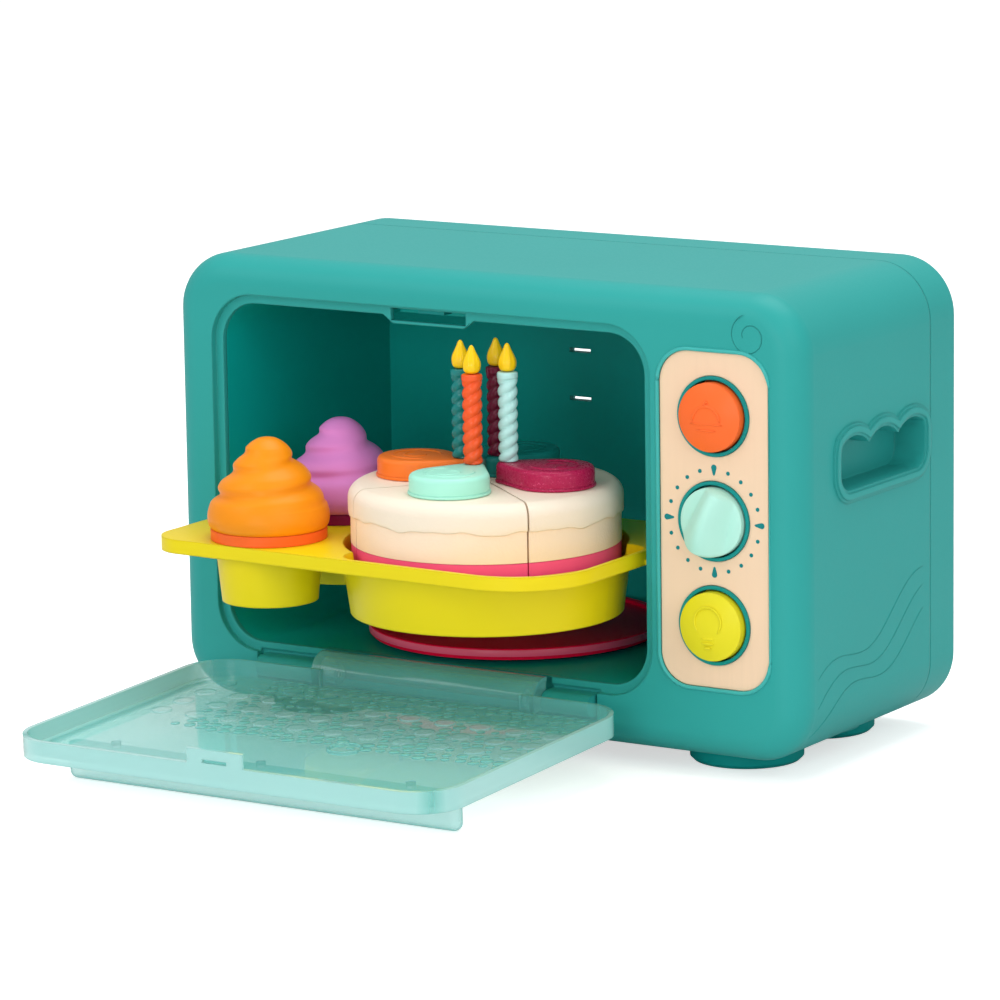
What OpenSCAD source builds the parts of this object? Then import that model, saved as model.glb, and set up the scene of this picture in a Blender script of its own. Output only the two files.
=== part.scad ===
// Toy oven with an open drop-down door, a pull-out baking tray and play food.
// Working frame of every module: x right from the left wall of the case,
// y back from the front face, z up from the underside of the case, in mm.
// placed() moves each piece to the shared frame.

/* [Case] */
// Width of the case across the front
body_width = 310; // [300:1:320]
// Height of the case without its feet
body_height = 194.6; // [190:0.2:204]
// Depth of the case from front face to back face
body_depth = 137.3; // [136:0.1:144]
// Corner radius of the case seen from the front
corner_radius = 24.5; // [24.2:0.1:27]
// Rounding of the edge round the front face
front_fillet = 12; // [9:0.5:12]
// Rounding of the edge round the back face
back_fillet = 3; // [2.6:0.1:4]
// Thickness of the case walls
shell_wall = 2.6; // [2.2:0.1:3]
// Distance from the front face to the seam of the case
seam_depth = 113.5; // [113:0.5:116]
// Open line between front shell and back cover
seam_gap = 0.3; // [0.2:0.05:0.5]
// Depth of the locating lip of the back cover
cover_lip_depth = 4; // [3:0.5:6]
// Thickness of the locating lip
cover_lip_wall = 1.6; // [1.2:0.1:2]
// Play between fitted parts
fit_gap = 0.15; // [0.1:0.05:0.2]
// Wall of the frames in the front shell
frame_wall = 2.4; // [2.2:0.1:2.5]
// Half width of the notches in the locating lip
lip_notch = 6; // [5.5:0.5:7]

/* [Door opening] */
// Distance from the left wall to the recess
recess_left = 20.7; // [20:0.1:22]
// Width of the recess
recess_width = 219.2; // [218:0.1:220]
// Height of the lower edge of the recess
recess_bottom = 22.3; // [22:0.1:23]
// Height of the recess
recess_height = 156.3; // [156:0.1:158]
// Corner radius of the recess
recess_radius = 21; // [18:0.5:22]
// Depth of the recess below the front face
recess_depth = 3; // [3:0.1:3.4]
// Width of the flange that frames the opening
flange_width = 4; // [3.6:0.1:4]
// Thickness of that flange
flange_wall = 2.4; // [2:0.1:2.6]
// Width of the lowered latch part of the flange
latch_land_width = 45.5; // [44:0.5:48]
// How far that part hangs down
latch_land_drop = 3.6; // [3:0.1:3.7]
// Slant at each end of that part
latch_land_slant = 5; // [4:0.5:6]
// Height of the latch slot above its edge
slot_ledge = 1.2; // [1:0.1:1.2]
// Half width of the catch tab in the latch slot
catch_half = 6.5; // [6:0.5:8]
// Thickness of the catch tab
catch_wall = 1.3; // [1.2:0.1:1.5]
// Gap between the catch tab and the tongue
catch_gap = 0.9; // [0.8:0.05:1]
// Width of the slot for the door tongue
latch_slot_width = 37.5; // [34:0.5:38]
// Height of the slot for the door tongue
latch_slot_height = 5.3; // [5:0.1:5.6]

/* [Cavity] */
// Wall thickness of the cavity liner
liner_wall = 1.8; // [1.5:0.1:2]
// Width of the mounting lip of the liner
liner_lip = 4; // [3:0.5:5]
// From the back face to the back wall of the cavity
cavity_back = 4.5; // [4.4:0.1:4.6]
// Width of the two narrow slots in the back wall
vent_width = 11; // [9:0.5:13]
// Height of the two narrow slots
vent_height = 1.8; // [1.4:0.1:2]
// Left-right place of the middle of the slots
vent_x = 125.5; // [122:0.5:128]
// Height of the lower slot
vent_low = 120.1; // [118:0.5:122]
// Spacing of the two slots
vent_pitch = 21.6; // [18:0.2:24]
// Depth of the tray grooves in the side walls
groove_depth = 2; // [1.6:0.1:2.2]

/* [Tray] */
// Left edge of the tray
tray_left = 28; // [27.5:0.1:29]
// Width of the tray
tray_width = 202.5; // [201:0.5:203]
// Depth of the tray from front edge to back edge
tray_depth = 135; // [134.5:0.1:135]
// Reach of the pulled-out tray in front of the case
tray_reach = 66; // [65.5:0.1:66]
// How far the tray slides in
tray_travel = 63; // [62:0.1:63]
// Height of the tray surface
tray_top = 82.5; // [82:0.5:84]
// Depth of the skirt round the tray
tray_skirt = 6; // [5.5:0.1:6.5]
// Wall thickness of the tray
tray_wall = 1.5; // [1.3:0.1:1.6]
// How much the tray narrows at each edge towards the left
tray_taper = 4.5; // [3:0.5:5]
// Radius of the left tray corners
tray_radius_left = 16; // [12:1:18]
// Radius of the front right tray corner
tray_radius_front = 36; // [33:1:37]
// Radius of the back right tray corner
tray_radius_back = 28; // [26:1:30]
// Width of the rim beside the lowered ground
tray_rim = 2.2; // [2:0.1:2.4]
// Left-right place of the left end of the lowered ground
shelf_left = 124; // [122:1:130]
// Corner radius of the lowered ground
shelf_radius = 10; // [8:0.5:11]
// Thickness of the guide tabs
tab_height = 2.2; // [1.8:0.1:2.6]
// Play above and below the guide tabs
tab_play = 0.3; // [0.2:0.05:0.4]
// Left-right place of the cake pan centre
pan_x = 159; // [158.5:0.1:159.5]
// Front-back place of the cake pan centre
pan_y = 1; // [0.5:0.1:1.5]
// Outer radius of the cake pan at its top
pan_radius_top = 61.7; // [61.4:0.1:62]
// Outer radius of the cake pan at its bottom
pan_radius_low = 57.7; // [57.5:0.1:58.2]
// Depth of the cake pan below the tray surface
pan_depth = 29.5; // [28:0.5:31]
// Left-right place of the cups
cup_x = 74.7; // [74:0.1:75]
// Front-back place of the front cup
cup_front_y = -37.5; // [-38:0.1:-37]
// Front-back place of the back cup
cup_back_y = 18; // [17.5:0.1:18.5]
// Outer radius of a cup at its top
cup_radius_top = 23.1; // [22.8:0.1:23.4]
// Outer radius of a cup at its bottom
cup_radius_low = 20.4; // [19.5:0.1:21]
// Depth of a cup below the tray surface
cup_depth = 26.5; // [25:0.5:28]

/* [Cake] */
// Radius of the cake base and the sponge
cake_radius = 56.8; // [56.6:0.1:57]
// Overhang of the icing past the sponge
icing_overhang = 1; // [0.8:0.1:1.1]
// Height of the lower edge of the sponge above the tray
cake_base_rise = 0.5; // [0.3:0.1:1]
// Height of the icing line above the split
sponge_height = 13; // [12:0.5:14]
// Height of the icing
icing_height = 12; // [11:0.5:12]
// Rounding of the top edge of the icing
icing_round = 6; // [4:0.5:6.5]
// Turn of the cake in its pan in degrees
cake_turn = 5; // [0:1:10]
// Half of the cut between two slices
cut_half = 0.25; // [0.2:0.05:0.3]
// Wall thickness of the hollow food pieces
food_wall = 2.2; // [1.8:0.1:2.4]
// Play under a piece of food
food_gap = 0.12; // [0.1:0.01:0.15]
// Side play of the food in pan and cups
food_play = 0.5; // [0.4:0.05:0.6]
// Radius of the round part of a topping
topping_radius = 16.8; // [16:0.1:17]
// Distance of that round part from the cake centre
topping_place = 32.5; // [32:0.1:33]
// Radius of the tail end of a topping
tail_radius = 5.2; // [5.1:0.05:5.4]
// Height of a topping
topping_height = 8.6; // [8.2:0.1:9]
// Distance of a candle from the cake centre
candle_place = 11; // [10.8:0.1:11.2]
// Radius of a candle
candle_radius = 4.2; // [4:0.05:4.3]
// Radius of the collar at the top of a candle
collar_radius = 4.4; // [4.3:0.05:4.6]
// Height of the collar
collar_height = 3; // [2.5:0.1:4]
// Length of the visible candle
candle_height = 38; // [37:0.5:38]
// Radius of the peg under a candle
candle_peg_radius = 2.4; // [2:0.1:2.6]
// Length of the peg under a candle
candle_peg = 6.5; // [5:0.5:7]
// Play round the peg
peg_play = 0.3; // [0.25:0.05:0.35]
// Radius of a flame
flame_radius = 3.9; // [3.6:0.05:4]
// Height of a flame
flame_height = 12; // [11:0.2:12]
// Radius of the flame tip
flame_tip = 0.9; // [0.7:0.1:1.1]
// Slope of the upper part of a flame in degrees
flame_slope = 22; // [18:1:25]
// Play under a flame
flame_lift = 0.05; // [0.04:0.01:0.06]

/* [Cupcakes] */
// Radius of the rim of a cupcake base
cupcake_rim = 24.7; // [24:0.1:25]
// Height of that rim
cupcake_rim_height = 4.5; // [4:0.1:5]
// Radius of the lowest tier of the swirl
swirl_radius = 26; // [25:0.1:26]
// Total height of the swirl
swirl_height = 38.4; // [37:0.2:39]
// Shrink of each swirl tier against the lowest one
tier_shrink = 0.165; // [0.15:0.005:0.18]
// Bead radius of the lowest tier
tier_bead = 5.6; // [5.2:0.1:5.8]
// Step from one bead radius to the next
tier_bead_step = 0.3; // [0.2:0.1:0.4]
// Rise from one tier to the next
tier_pitch = 6.6; // [6.4:0.1:6.8]
// Radius of the round tip of the swirl
swirl_tip = 8.8; // [8.4:0.1:9]
// Radius of the plug under the swirl
plug_radius = 10; // [8:0.5:12]
// Length of the plug under the swirl
plug_length = 5; // [4:0.5:6]

/* [Oven door] */
// Height of the hinge axis
hinge_height = 17; // [16.9:0.05:17.1]
// Distance of the hinge axis in front of the front face
hinge_reach = 1.6; // [1.5:0.05:1.7]
// Angle between closed and open door in degrees
open_angle = 92.18; // [91:0.1:93]
// Gap between the door and the edge of the recess
door_margin = 3.4; // [3.3:0.1:3.6]
// Height of the closed door in the recess
door_lift = 3.9; // [3.8:0.05:4]
// Corner radius of the door
door_radius = 20; // [16:1:21]
// Reach of the closed door in front of the case
door_reach = 6.3; // [6.2:0.05:6.4]
// Thickness of the door skin
door_skin = 2.2; // [2:0.1:2.2]
// Thickness of the rim wall round the door
door_rim = 2; // [1.8:0.1:2.2]
// Gap between the closed rim and the flange
rim_gap = 0.2; // [0.15:0.05:0.3]
// Outer radius of the hinge guard
guard_radius = 10; // [9.9:0.05:10.1]
// Thickness of that guard
guard_wall = 1.8; // [1.5:0.1:1.9]
// Left end of the guard
guard_left = 76.4; // [75:0.2:78]
// Width of the guard
guard_width = 112.2; // [110:0.2:113]
// Angle behind the hinge where the guard ends
guard_tail = 12; // [8:1:14]
// Turning play of the guard in its trough
guard_play = 0.5; // [0.4:0.05:0.6]
// Thickness of the end plates of the guard
guard_end = 3; // [2.6:0.1:3.2]
// Radius of the bosses that take the hinge pins
pin_boss = 4.4; // [4.2:0.1:4.6]
// Distance from the notch end to the left lug
notch_side = 3; // [2.5:0.5:3.5]
// Radius of the hinge lugs of the case
lug_radius = 4.65; // [4.4:0.05:4.8]
// Left end of the left lug
lug_left = 44; // [42.5:0.5:46]
// Right end of the right lug
lug_right = 212; // [208:0.5:212.5]
// Side play between lug and door
lug_play = 0.6; // [0.4:0.05:0.8]
// Radius of the hinge pins
pin_radius = 1.5; // [1.3:0.05:1.6]
// Turning play of the pins in the door
pin_play = 0.08; // [0.06:0.01:0.1]
// Length of a pin inside a lug
pin_grip = 10; // [8:0.5:12]
// Length of a pin inside the door
pin_reach = 7.5; // [6:0.5:8]
// Width of the latch tongue
tongue_width = 27.6; // [26:0.2:29]
// How far the tongue stands past the rim
tongue_reach = 6.2; // [5.8:0.1:6.4]
// Thickness of the tongue
tongue_wall = 1.8; // [1.6:0.1:1.9]
// Length of the slot in the tongue
tongue_slot = 12; // [10:0.5:13]
// Height of the slot in the tongue
tongue_slot_height = 1.5; // [1.3:0.1:1.6]
// Radius of the grip bar edge of the door handle
grip_radius = 3.5; // [3:0.1:4]
// Height of the handle above the hinge
grip_rise = 123.1; // [120:0.5:126]
// Left-right place of the left handle end
grip_left = 32.5; // [32:0.5:36]
// Length of the handle
grip_length = 192.5; // [188:0.5:194]
// Play between the open handle and the floor
grip_floor_gap = 0.03; // [0.02:0.01:0.05]
// Radius of the studs that hold the handle
grip_stud = 2; // [1.8:0.1:2.2]
// Spacing of those studs
grip_stud_pitch = 72.8; // [70:0.2:74]
// Radius of the raised dots inside the door
dot_radius = 4.4; // [3.6:0.1:4.8]
// Height of the raised dots
dot_height = 0.5; // [0.4:0.1:0.6]
// Spacing of the raised dots
dot_pitch = 17.4; // [17:0.2:17.6]
// Spacing of the rows of dots
dot_row_pitch = 16; // [15.6:0.1:16.2]
// Height of the lowest row above the door edge
dot_rise = 16; // [15:0.5:17]
// Number of rows of dots
dot_rows = 4; // [3:1:4]
// Number of dots beside the middle one
dot_side = 5; // [4:1:5]
// Height of the notch for the hinge lugs
notch_height = 11.8; // [11.4:0.1:12]
// Depth of the notch behind the front face
notch_depth = 4.2; // [4.1:0.1:4.4]

/* [Turntable] */
// Radius of the turntable
turntable_radius = 64; // [62:0.2:64]
// Left-right place of the turntable centre
turntable_x = 131; // [130:0.2:132]
// Front-back place of the turntable centre
turntable_y = 68; // [67.8:0.1:68.2]
// Thickness of the turntable
turntable_height = 5; // [4.5:0.1:6]
// Width of the raised turntable rim
turntable_rim = 3; // [2:0.5:4]
// Depth of the dish inside the rim
turntable_dish = 1.6; // [1:0.1:2]
// Gap between cavity floor and turntable
turntable_gap = 2.3; // [2.2:0.1:2.6]
// Radius of the spindle
spindle_radius = 3.5; // [3:0.1:4]
// Turning play of the spindle
spindle_play = 0.08; // [0.06:0.01:0.1]
// Thickness of the foot of the spindle
spindle_foot = 2.5; // [2:0.1:2.8]
// Reach of the spindle into the turntable
spindle_tip = 2; // [1.8:0.1:2.2]
// Radius of the round pad under the turntable
pivot_radius = 9; // [8:0.5:10]
// Step under the edge of the turntable
turntable_step = 1.2; // [1:0.1:1.4]

/* [Control panel] */
// Left-right place of the panel centre
panel_x = 269.85; // [269.6:0.05:270.1]
// Width of the panel
panel_width = 50.7; // [50:0.1:51]
// Height of the lower panel edge
panel_bottom = 30.8; // [30.4:0.1:31.2]
// Height of the panel
panel_height = 139.5; // [138:0.5:141]
// Corner radius of the panel
panel_radius = 13.5; // [12:0.5:15]
// Thickness of the panel
panel_wall = 2.6; // [2.4:0.1:2.8]
// Line round the panel
panel_gap = 0.35; // [0.3:0.05:0.5]
// Width of the hidden edge that holds the panel
panel_edge = 1.4; // [1.2:0.1:1.4]
// Thickness of that edge
panel_edge_wall = 2; // [1.8:0.1:2.2]
// How far the panel lies behind the front face
panel_face = 0.5; // [0.4:0.1:0.6]
// Spacing of the buttons
button_pitch = 43.5; // [42.5:0.1:44]
// Height of the dial centre
dial_height = 100.5; // [100:0.1:101]
// Radius of the holes in the panel
hole_radius = 16.8; // [16.7:0.05:17]
// Wall of the collar round each button
collar_wall = 1.5; // [1.3:0.1:1.6]
// How far the collars stand in front of the panel
collar_rise = 0.9; // [0.8:0.1:1]
// Depth of the inner end of the collars
collar_back = 8; // [7.8:0.1:8.2]
// Radius of the buttons
button_radius = 14.3; // [14.1:0.05:14.5]
// Reach of the buttons in front of the case
button_reach = 6.2; // [5.5:0.1:7]
// Height of the dome of a button
button_dome = 2.8; // [2.4:0.1:3.2]
// Travel of the buttons
button_travel = 3; // [2.5:0.1:3]
// Wall thickness of a button
cap_wall = 2.2; // [2:0.1:2.4]
// Radius of the stem inside a button
stem_radius = 3; // [2.6:0.1:3.4]
// Reach of the dial disc in front of the case
dial_reach = 3.2; // [3:0.1:3.6]
// Reach of the dial grip in front of the case
grip_reach = 12; // [11:0.5:13]
// Lean of the dial grip from upright in degrees
grip_lean = 22; // [15:1:25]
// Width of the dial grip at its thick end
grip_thick = 10; // [8:0.5:11]
// Width of the dial grip at its thin end
grip_thin = 6.5; // [5:0.5:7.5]
// Radius of the dial shaft
shaft_radius = 4; // [3.5:0.1:4.5]
// Turning play of the dial shaft
shaft_play = 0.08; // [0.06:0.01:0.1]
// Width of the clip round the dial shaft
clip_width = 2.5; // [2.2:0.1:2.8]
// Thickness of the clip
clip_wall = 1.2; // [1:0.1:1.4]

/* [Electronics] */
// Depth of the circuit board behind the face
board_depth = 20; // [19:0.5:22]
// Width of the circuit board
board_width = 43; // [42:0.5:44]
// Thickness of the circuit board
board_wall = 1.6; // [1.2:0.1:2]
// Distance from the panel ends to the board ends
board_margin = 6; // [5.5:0.5:6.5]
// Radius of the posts that carry the board
board_post = 3; // [2.8:0.1:3.2]
// Distance of those posts from the board edges
board_post_inset = 4; // [3.8:0.1:4.2]
// Radius of the board screws
board_screw = 1.1; // [1:0.05:1.2]
// Length of the board screws in the posts
board_screw_length = 8; // [7:0.5:8.5]
// Height of the switches
switch_height = 3.8; // [3.6:0.1:4]
// Half width of a push switch
switch_half = 3.5; // [3:0.1:3.6]
// Height of the button of a push switch
switch_stem = 1.6; // [1.4:0.1:1.8]
// Thickness of a solder joint or a glue film
solder_gap = 0.1; // [0.08:0.01:0.1]
// Coil radius of the button springs
spring_radius = 8; // [7:0.5:9]
// Wire radius of the button springs
spring_wire = 0.6; // [0.5:0.05:0.7]
// Number of coils shown
spring_coils = 7; // [5:1:8]
// Radius of the loudspeaker
speaker_radius = 20; // [18:0.5:20.5]
// Distance of the loudspeaker from the front face
speaker_y = 72; // [70:1:74]
// Height of the ring that holds the loudspeaker
speaker_ring = 3; // [2.6:0.1:3.4]
// Radius of the loudspeaker holes
speaker_hole = 1.6; // [1.4:0.1:1.8]
// Radius of the circle of those holes
speaker_hole_ring = 9; // [8:0.5:10]
// Radius of the magnet of the loudspeaker
magnet_radius = 11; // [10:0.5:12]
// Height of the magnet
magnet_height = 5; // [4:0.5:6]
// Radius of a battery cell
cell_radius = 7.15; // [7:0.05:7.2]
// Length of a battery cell
cell_length = 50.5; // [49.5:0.1:50.6]
// Spacing of the battery cells
cell_pitch = 15.6; // [15.2:0.1:15.8]
// Height of the contact tip of a cell
cell_tip = 1.3; // [1:0.1:1.4]
// Wall thickness of the battery box
box_wall = 1.8; // [1.6:0.1:2]
// Height of the lower edge of the battery box
box_bottom = 40; // [38:1:44]
// Thickness of the battery contacts
contact_wall = 0.5; // [0.4:0.05:0.5]
// Half width of the battery contacts
contact_half = 6; // [5.5:0.1:6.4]
// Radius of the boss that takes the hatch screw
hatch_boss = 3.6; // [3.4:0.1:3.8]
// Gap round the battery hatch
hatch_play = 0.3; // [0.25:0.05:0.35]

/* [Handles and feet] */
// Distance from the front face to the handle opening
pocket_front = 33.5; // [33:0.5:36]
// Length of the carrying handle opening
pocket_length = 74; // [72:0.5:74]
// Height of the lower edge of the handle opening
pocket_bottom = 110; // [108:0.5:111]
// Height of the handle opening
pocket_height = 22.4; // [22:0.1:24]
// Radius of the lower corners of the handle opening
pocket_radius = 8; // [7:0.5:9]
// Radius of the scallops of the handle opening
scallop_radius = 20; // [18:0.5:22]
// Spacing of the scallops
scallop_pitch = 25.4; // [24:0.2:26]
// Width of the raised rim round the opening
pocket_rim = 5.2; // [4:0.2:5.8]
// Height of the raised rim
pocket_rim_rise = 1.6; // [1.2:0.1:1.8]
// Step of the rounded rim at each edge
pocket_rim_round = 1.2; // [1:0.1:1.4]
// Depth of the handle opening
pocket_depth = 14; // [11:0.5:14]
// Height of the feet
foot_height = 8; // [7.5:0.1:8.5]
// Radius of the feet
foot_radius = 24; // [22:0.5:24.5]
// Distance of the feet from the side walls
foot_side = 49; // [46:1:52]
// Distance of the front feet from the front face
foot_front = 42; // [40:1:46]
// Distance of the back feet from the front face
foot_back = 104; // [100:1:108]
// Radius of the plug that holds a foot
foot_plug = 4; // [3:0.5:5]
// Slanted edge under the feet
foot_edge = 1.5; // [1.2:0.1:2]

/* [Screws] */
// Radius of the case screws
screw_radius = 1.5; // [1.3:0.1:1.7]
// Head radius of the case screws
screw_head = 3; // [2.7:0.1:3.2]
// Length of a case screw below its head
screw_length = 20; // [16:1:24]
// Play round a pressed screw or pin
screw_grip = 0.02; // [0.01:0.01:0.03]
// Width of the cross slots in the screw heads
slot_width = 0.85; // [0.7:0.05:1]
// Reach of the cross slots as a share of the head
slot_reach = 0.7; // [0.6:0.05:0.75]
// Length of the hatch screw in its boss
hatch_screw_length = 12; // [10:0.5:12.5]
// Radius of the screw posts
post_radius = 4.5; // [4.2:0.1:5]
// Side distance of the corner posts
post_side = 10.5; // [10.3:0.1:10.8]
// Distance of the corner posts from floor and top
post_rise = 21; // [20.5:0.5:22]
// Side distance of the upper middle posts
mid_post_side = 80; // [78:1:84]
// Thickness of the webs of those posts
web_wall = 2; // [1.6:0.2:2.4]
// Reach of the cover posts in front of the seam
post_overlap = 1.2; // [1:0.1:1.4]
// Depth of the screw seats in the cover posts
sleeve_depth = 6; // [5:0.5:7]

/* [Hidden] */
$fn = 48;
over = 1;
touch = 0.01;
inner_radius = corner_radius - shell_wall;
inner_fillet = front_fillet - shell_wall;
recess_right = recess_left + recess_width;
recess_top = recess_bottom + recess_height;
flange_front = recess_depth;
flange_back = recess_depth + flange_wall;
open_left = recess_left + flange_width;
open_right = recess_right - flange_width;
open_bottom = recess_bottom + flange_width;
open_top = recess_top - flange_width;
open_width = open_right - open_left;
open_height = open_top - open_bottom;
open_radius = recess_radius - flange_width;
open_mid = (open_left + open_right) / 2;
liner_front = flange_back + fit_gap;
liner_back = body_depth - cavity_back;
cover_wall = shell_wall - 0.2;
cover_inner = body_depth - cover_wall;
liner_rear = liner_back + liner_wall;
land_bottom = open_top - latch_land_drop;
slot_bottom = land_bottom + slot_ledge;
slot_left = open_mid - latch_slot_width / 2;
hinge_y = -hinge_reach;
hinge_z = hinge_height;
door_left = recess_left + door_margin;
door_width = recess_width - 2 * door_margin;
door_bottom = recess_bottom + door_lift;
door_height = recess_height - 2 * door_lift;
door_top = door_bottom + door_height;
door_front = -door_reach;
rim_back = recess_depth - rim_gap;
guard_right = guard_left + guard_width;
trough_radius = guard_radius + guard_play;
trough_wall = trough_radius + frame_wall;
notch_bottom = recess_bottom - notch_height;
notch_left = lug_left - notch_side;
notch_right = lug_right + over;
left_lug_end = guard_left - lug_play;
right_lug_start = guard_right + lug_play;
grip_axis_y = (grip_radius + grip_floor_gap - foot_height - hinge_z
  - grip_rise * cos(open_angle)) / sin(open_angle);
whole_front = hinge_y + (rim_back + tongue_reach - hinge_y) * cos(open_angle)
  - (door_top - hinge_z) * sin(open_angle);
centre_y = (whole_front + body_depth) / 2;
tray_front = -tray_reach;
tray_back = tray_depth - tray_reach;
tray_right = tray_left + tray_width;
tray_low = tray_top - tray_skirt;
tab_low = tray_low + tab_play;
groove_front = liner_front + liner_lip;
groove_back = liner_back - tab_play;
tab_front = groove_front + over;
tab_end = tray_back - tray_radius_back;
pan_floor = tray_top - pan_depth;
cup_floor = tray_top - cup_depth;
cake_split = tray_top + cake_base_rise;
icing_line = cake_split + sponge_height;
cake_top = icing_line + icing_height;
base_bottom = pan_floor + tray_wall + food_gap;
base_low_radius = pan_radius_low - tray_wall - food_play;
slice_angles = [cake_turn, cake_turn + 90, cake_turn + 180, cake_turn + 270];
topping_bottom = cake_top + food_gap;
topping_top = topping_bottom + topping_height;
candle_bottom = topping_top + food_gap;
candle_top = candle_bottom + candle_height;
cupcake_floor = cup_floor + tray_wall + food_gap;
rim_bottom = tray_top + food_gap;
rim_top = rim_bottom + cupcake_rim_height;
swirl_bottom = rim_top + food_gap;
turntable_bottom = open_bottom + turntable_gap;
panel_left = panel_x - panel_width / 2;
panel_back = panel_face + panel_wall;
edge_front = shell_wall + fit_gap;
edge_back = edge_front + panel_edge_wall;
button_heights = [dial_height + button_pitch, dial_height - button_pitch];
collar_inner = hole_radius - fit_gap - collar_wall;
button_flange = collar_inner + collar_wall - fit_gap;
button_back = collar_back + collar_wall;
cap_front = cap_wall - button_reach + button_dome;
stem_end = board_depth - switch_height - switch_stem - button_travel - 2 * fit_gap;
spring_tie = spring_wire - fit_gap;
board_left = panel_x - board_width / 2;
board_bottom = panel_bottom + board_margin;
board_height = panel_height - 2 * board_margin;
board_post_x = [board_left + board_post_inset, board_left + board_width - board_post_inset];
board_post_z = [board_bottom + board_post_inset, board_bottom + board_height - board_post_inset];
box_x = panel_x + board_post;
box_width = cell_length + 2 * box_wall + 6 * contact_wall;
box_height = 2 * cell_pitch + 2 * cell_radius + 4 * box_wall;
box_top = box_bottom + box_height;
box_mid = box_bottom + box_height / 2;
cell_y = cover_inner - box_wall - over - cell_radius;
box_front = cell_y - cell_radius - over - box_wall;
box_back = cover_inner - fit_gap;
hatch_screw_z = box_top + hatch_boss - box_wall / 2;
hatch_bottom = box_bottom + over;
hatch_height = box_height + 2 * hatch_boss;
hatch_width = box_width - 2 * box_wall;
post_x = [post_side, body_width - post_side];
post_z = [post_rise, body_height - post_rise];
mid_post_x = [mid_post_side, body_width - mid_post_side];
mid_post_z = body_height - 2 * post_radius - fit_gap;
sleeve_front = seam_depth - post_overlap;
sleeve_floor = sleeve_front + sleeve_depth;
foot_x = [foot_side, body_width - foot_side];
foot_y = [foot_front, foot_back];
speaker_x = panel_x + board_post;
grip_middle = grip_left + grip_length / 2;

// Moves a piece from the working frame to the shared frame.
module placed() {
  translate([-body_width / 2, -centre_y, foot_height]) children();
}

// Turns a piece of the closed door to the open door.
module opened() {
  translate([0, hinge_y, hinge_z])
    rotate([open_angle, 0, 0])
      translate([0, -hinge_y, -hinge_z]) children();
}

// Extrudes a front view between two depths.
module along_y(from_y, to_y) {
  translate([0, to_y, 0]) rotate([90, 0, 0]) linear_extrude(to_y - from_y) children();
}

// Extrudes a side view (depth, height) between two left-right places.
module along_x(from_x, to_x) {
  translate([from_x, 0, 0]) rotate([90, 0, 90]) linear_extrude(to_x - from_x) children();
}

// A round bar running front to back.
module rod_y(x, z, r, from_y, to_y) {
  translate([x, to_y, z]) rotate([90, 0, 0]) cylinder(r = r, h = to_y - from_y);
}

// A round bar running left to right.
module rod_x(y, z, r, from_x, to_x) {
  translate([from_x, y, z]) rotate([0, 90, 0]) cylinder(r = r, h = to_x - from_x);
}

// A box given by its two opposite corners.
module span(x0, x1, y0, y1, z0, z1) {
  translate([x0, y0, z0]) cube([x1 - x0, y1 - y0, z1 - z0]);
}

// A rectangle with round corners.
module rounded(x0, z0, w, h, r) {
  translate([x0 + r, z0]) square([w - 2 * r, h]);
  translate([x0, z0 + r]) square([w, h - 2 * r]);
  for (cx = [x0 + r, x0 + w - r], cz = [z0 + r, z0 + h - r])
    translate([cx, cz]) circle(r);
}

// A block with round corners and a rounded front edge.
module rounded_block(x0, z0, w, h, rc, rf, front, back) {
  along_y(front + rf, back) rounded(x0, z0, w, h, rc);
  along_y(front, front + rf + touch) rounded(x0 + rf, z0 + rf, w - 2 * rf, h - 2 * rf, rc - rf);
  for (z = [z0 + rf, z0 + h - rf]) rod_x(front + rf, z, rf, x0 + rc, x0 + w - rc);
  for (x = [x0 + rf, x0 + w - rf]) translate([x, front + rf, z0 + rc]) cylinder(r = rf, h = h - 2 * rc);
  for (x = [x0 + rc, x0 + w - rc], z = [z0 + rc, z0 + h - rc])
    translate([x, front + rf, z]) rotate([90, 0, 0])
      rotate_extrude() translate([rc - rf, 0]) circle(rf);
}

// Side view of the carrying handle opening, grown.
module pocket_view(grow) {
  peak = pocket_bottom + pocket_height;
  middle = pocket_front + pocket_length / 2;
  intersection() {
    rounded(pocket_front - grow, pocket_bottom - grow, pocket_length + 2 * grow,
      pocket_height + 2 * grow + over, pocket_radius + grow);
    for (step = [-1, 0, 1])
      translate([middle + step * scallop_pitch, peak - scallop_radius])
        circle(scallop_radius + grow);
  }
}

// Carrying handle opening with inner box and rounded rim, right wall.
module pocket_body() {
  along_x(body_width - pocket_depth - shell_wall, body_width - shell_wall / 2) pocket_view(shell_wall);
  along_x(body_width - shell_wall, body_width + pocket_rim_rise / 2) pocket_view(pocket_rim);
  along_x(body_width - shell_wall, body_width + pocket_rim_rise)
    pocket_view(pocket_rim - pocket_rim_round);
}

module pocket_cut() {
  along_x(body_width - pocket_depth, body_width + over + pocket_rim_rise) pocket_view(0);
  along_x(body_width + pocket_rim_rise / 2, body_width + over + pocket_rim_rise)
    pocket_view(pocket_rim_round);
}

module on_both_sides() {
  children();
  translate([body_width, 0, 0]) mirror([1, 0, 0]) children();
}

// Screw posts of the front shell, without their bores.
module shell_posts() {
  for (x = post_x, z = post_z) rod_y(x, z, post_radius, shell_wall + fit_gap, sleeve_front - fit_gap);
  for (x = mid_post_x) {
    rod_y(x, mid_post_z, post_radius, front_fillet, sleeve_front - fit_gap);
    span(x - web_wall / 2, x + web_wall / 2, front_fillet, sleeve_front - fit_gap,
      mid_post_z, body_height - shell_wall / 2);
  }
}

module screw_places() {
  for (x = post_x, z = post_z) translate([x, 0, z]) children();
  for (x = mid_post_x) translate([x, 0, mid_post_z]) children();
}

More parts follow.
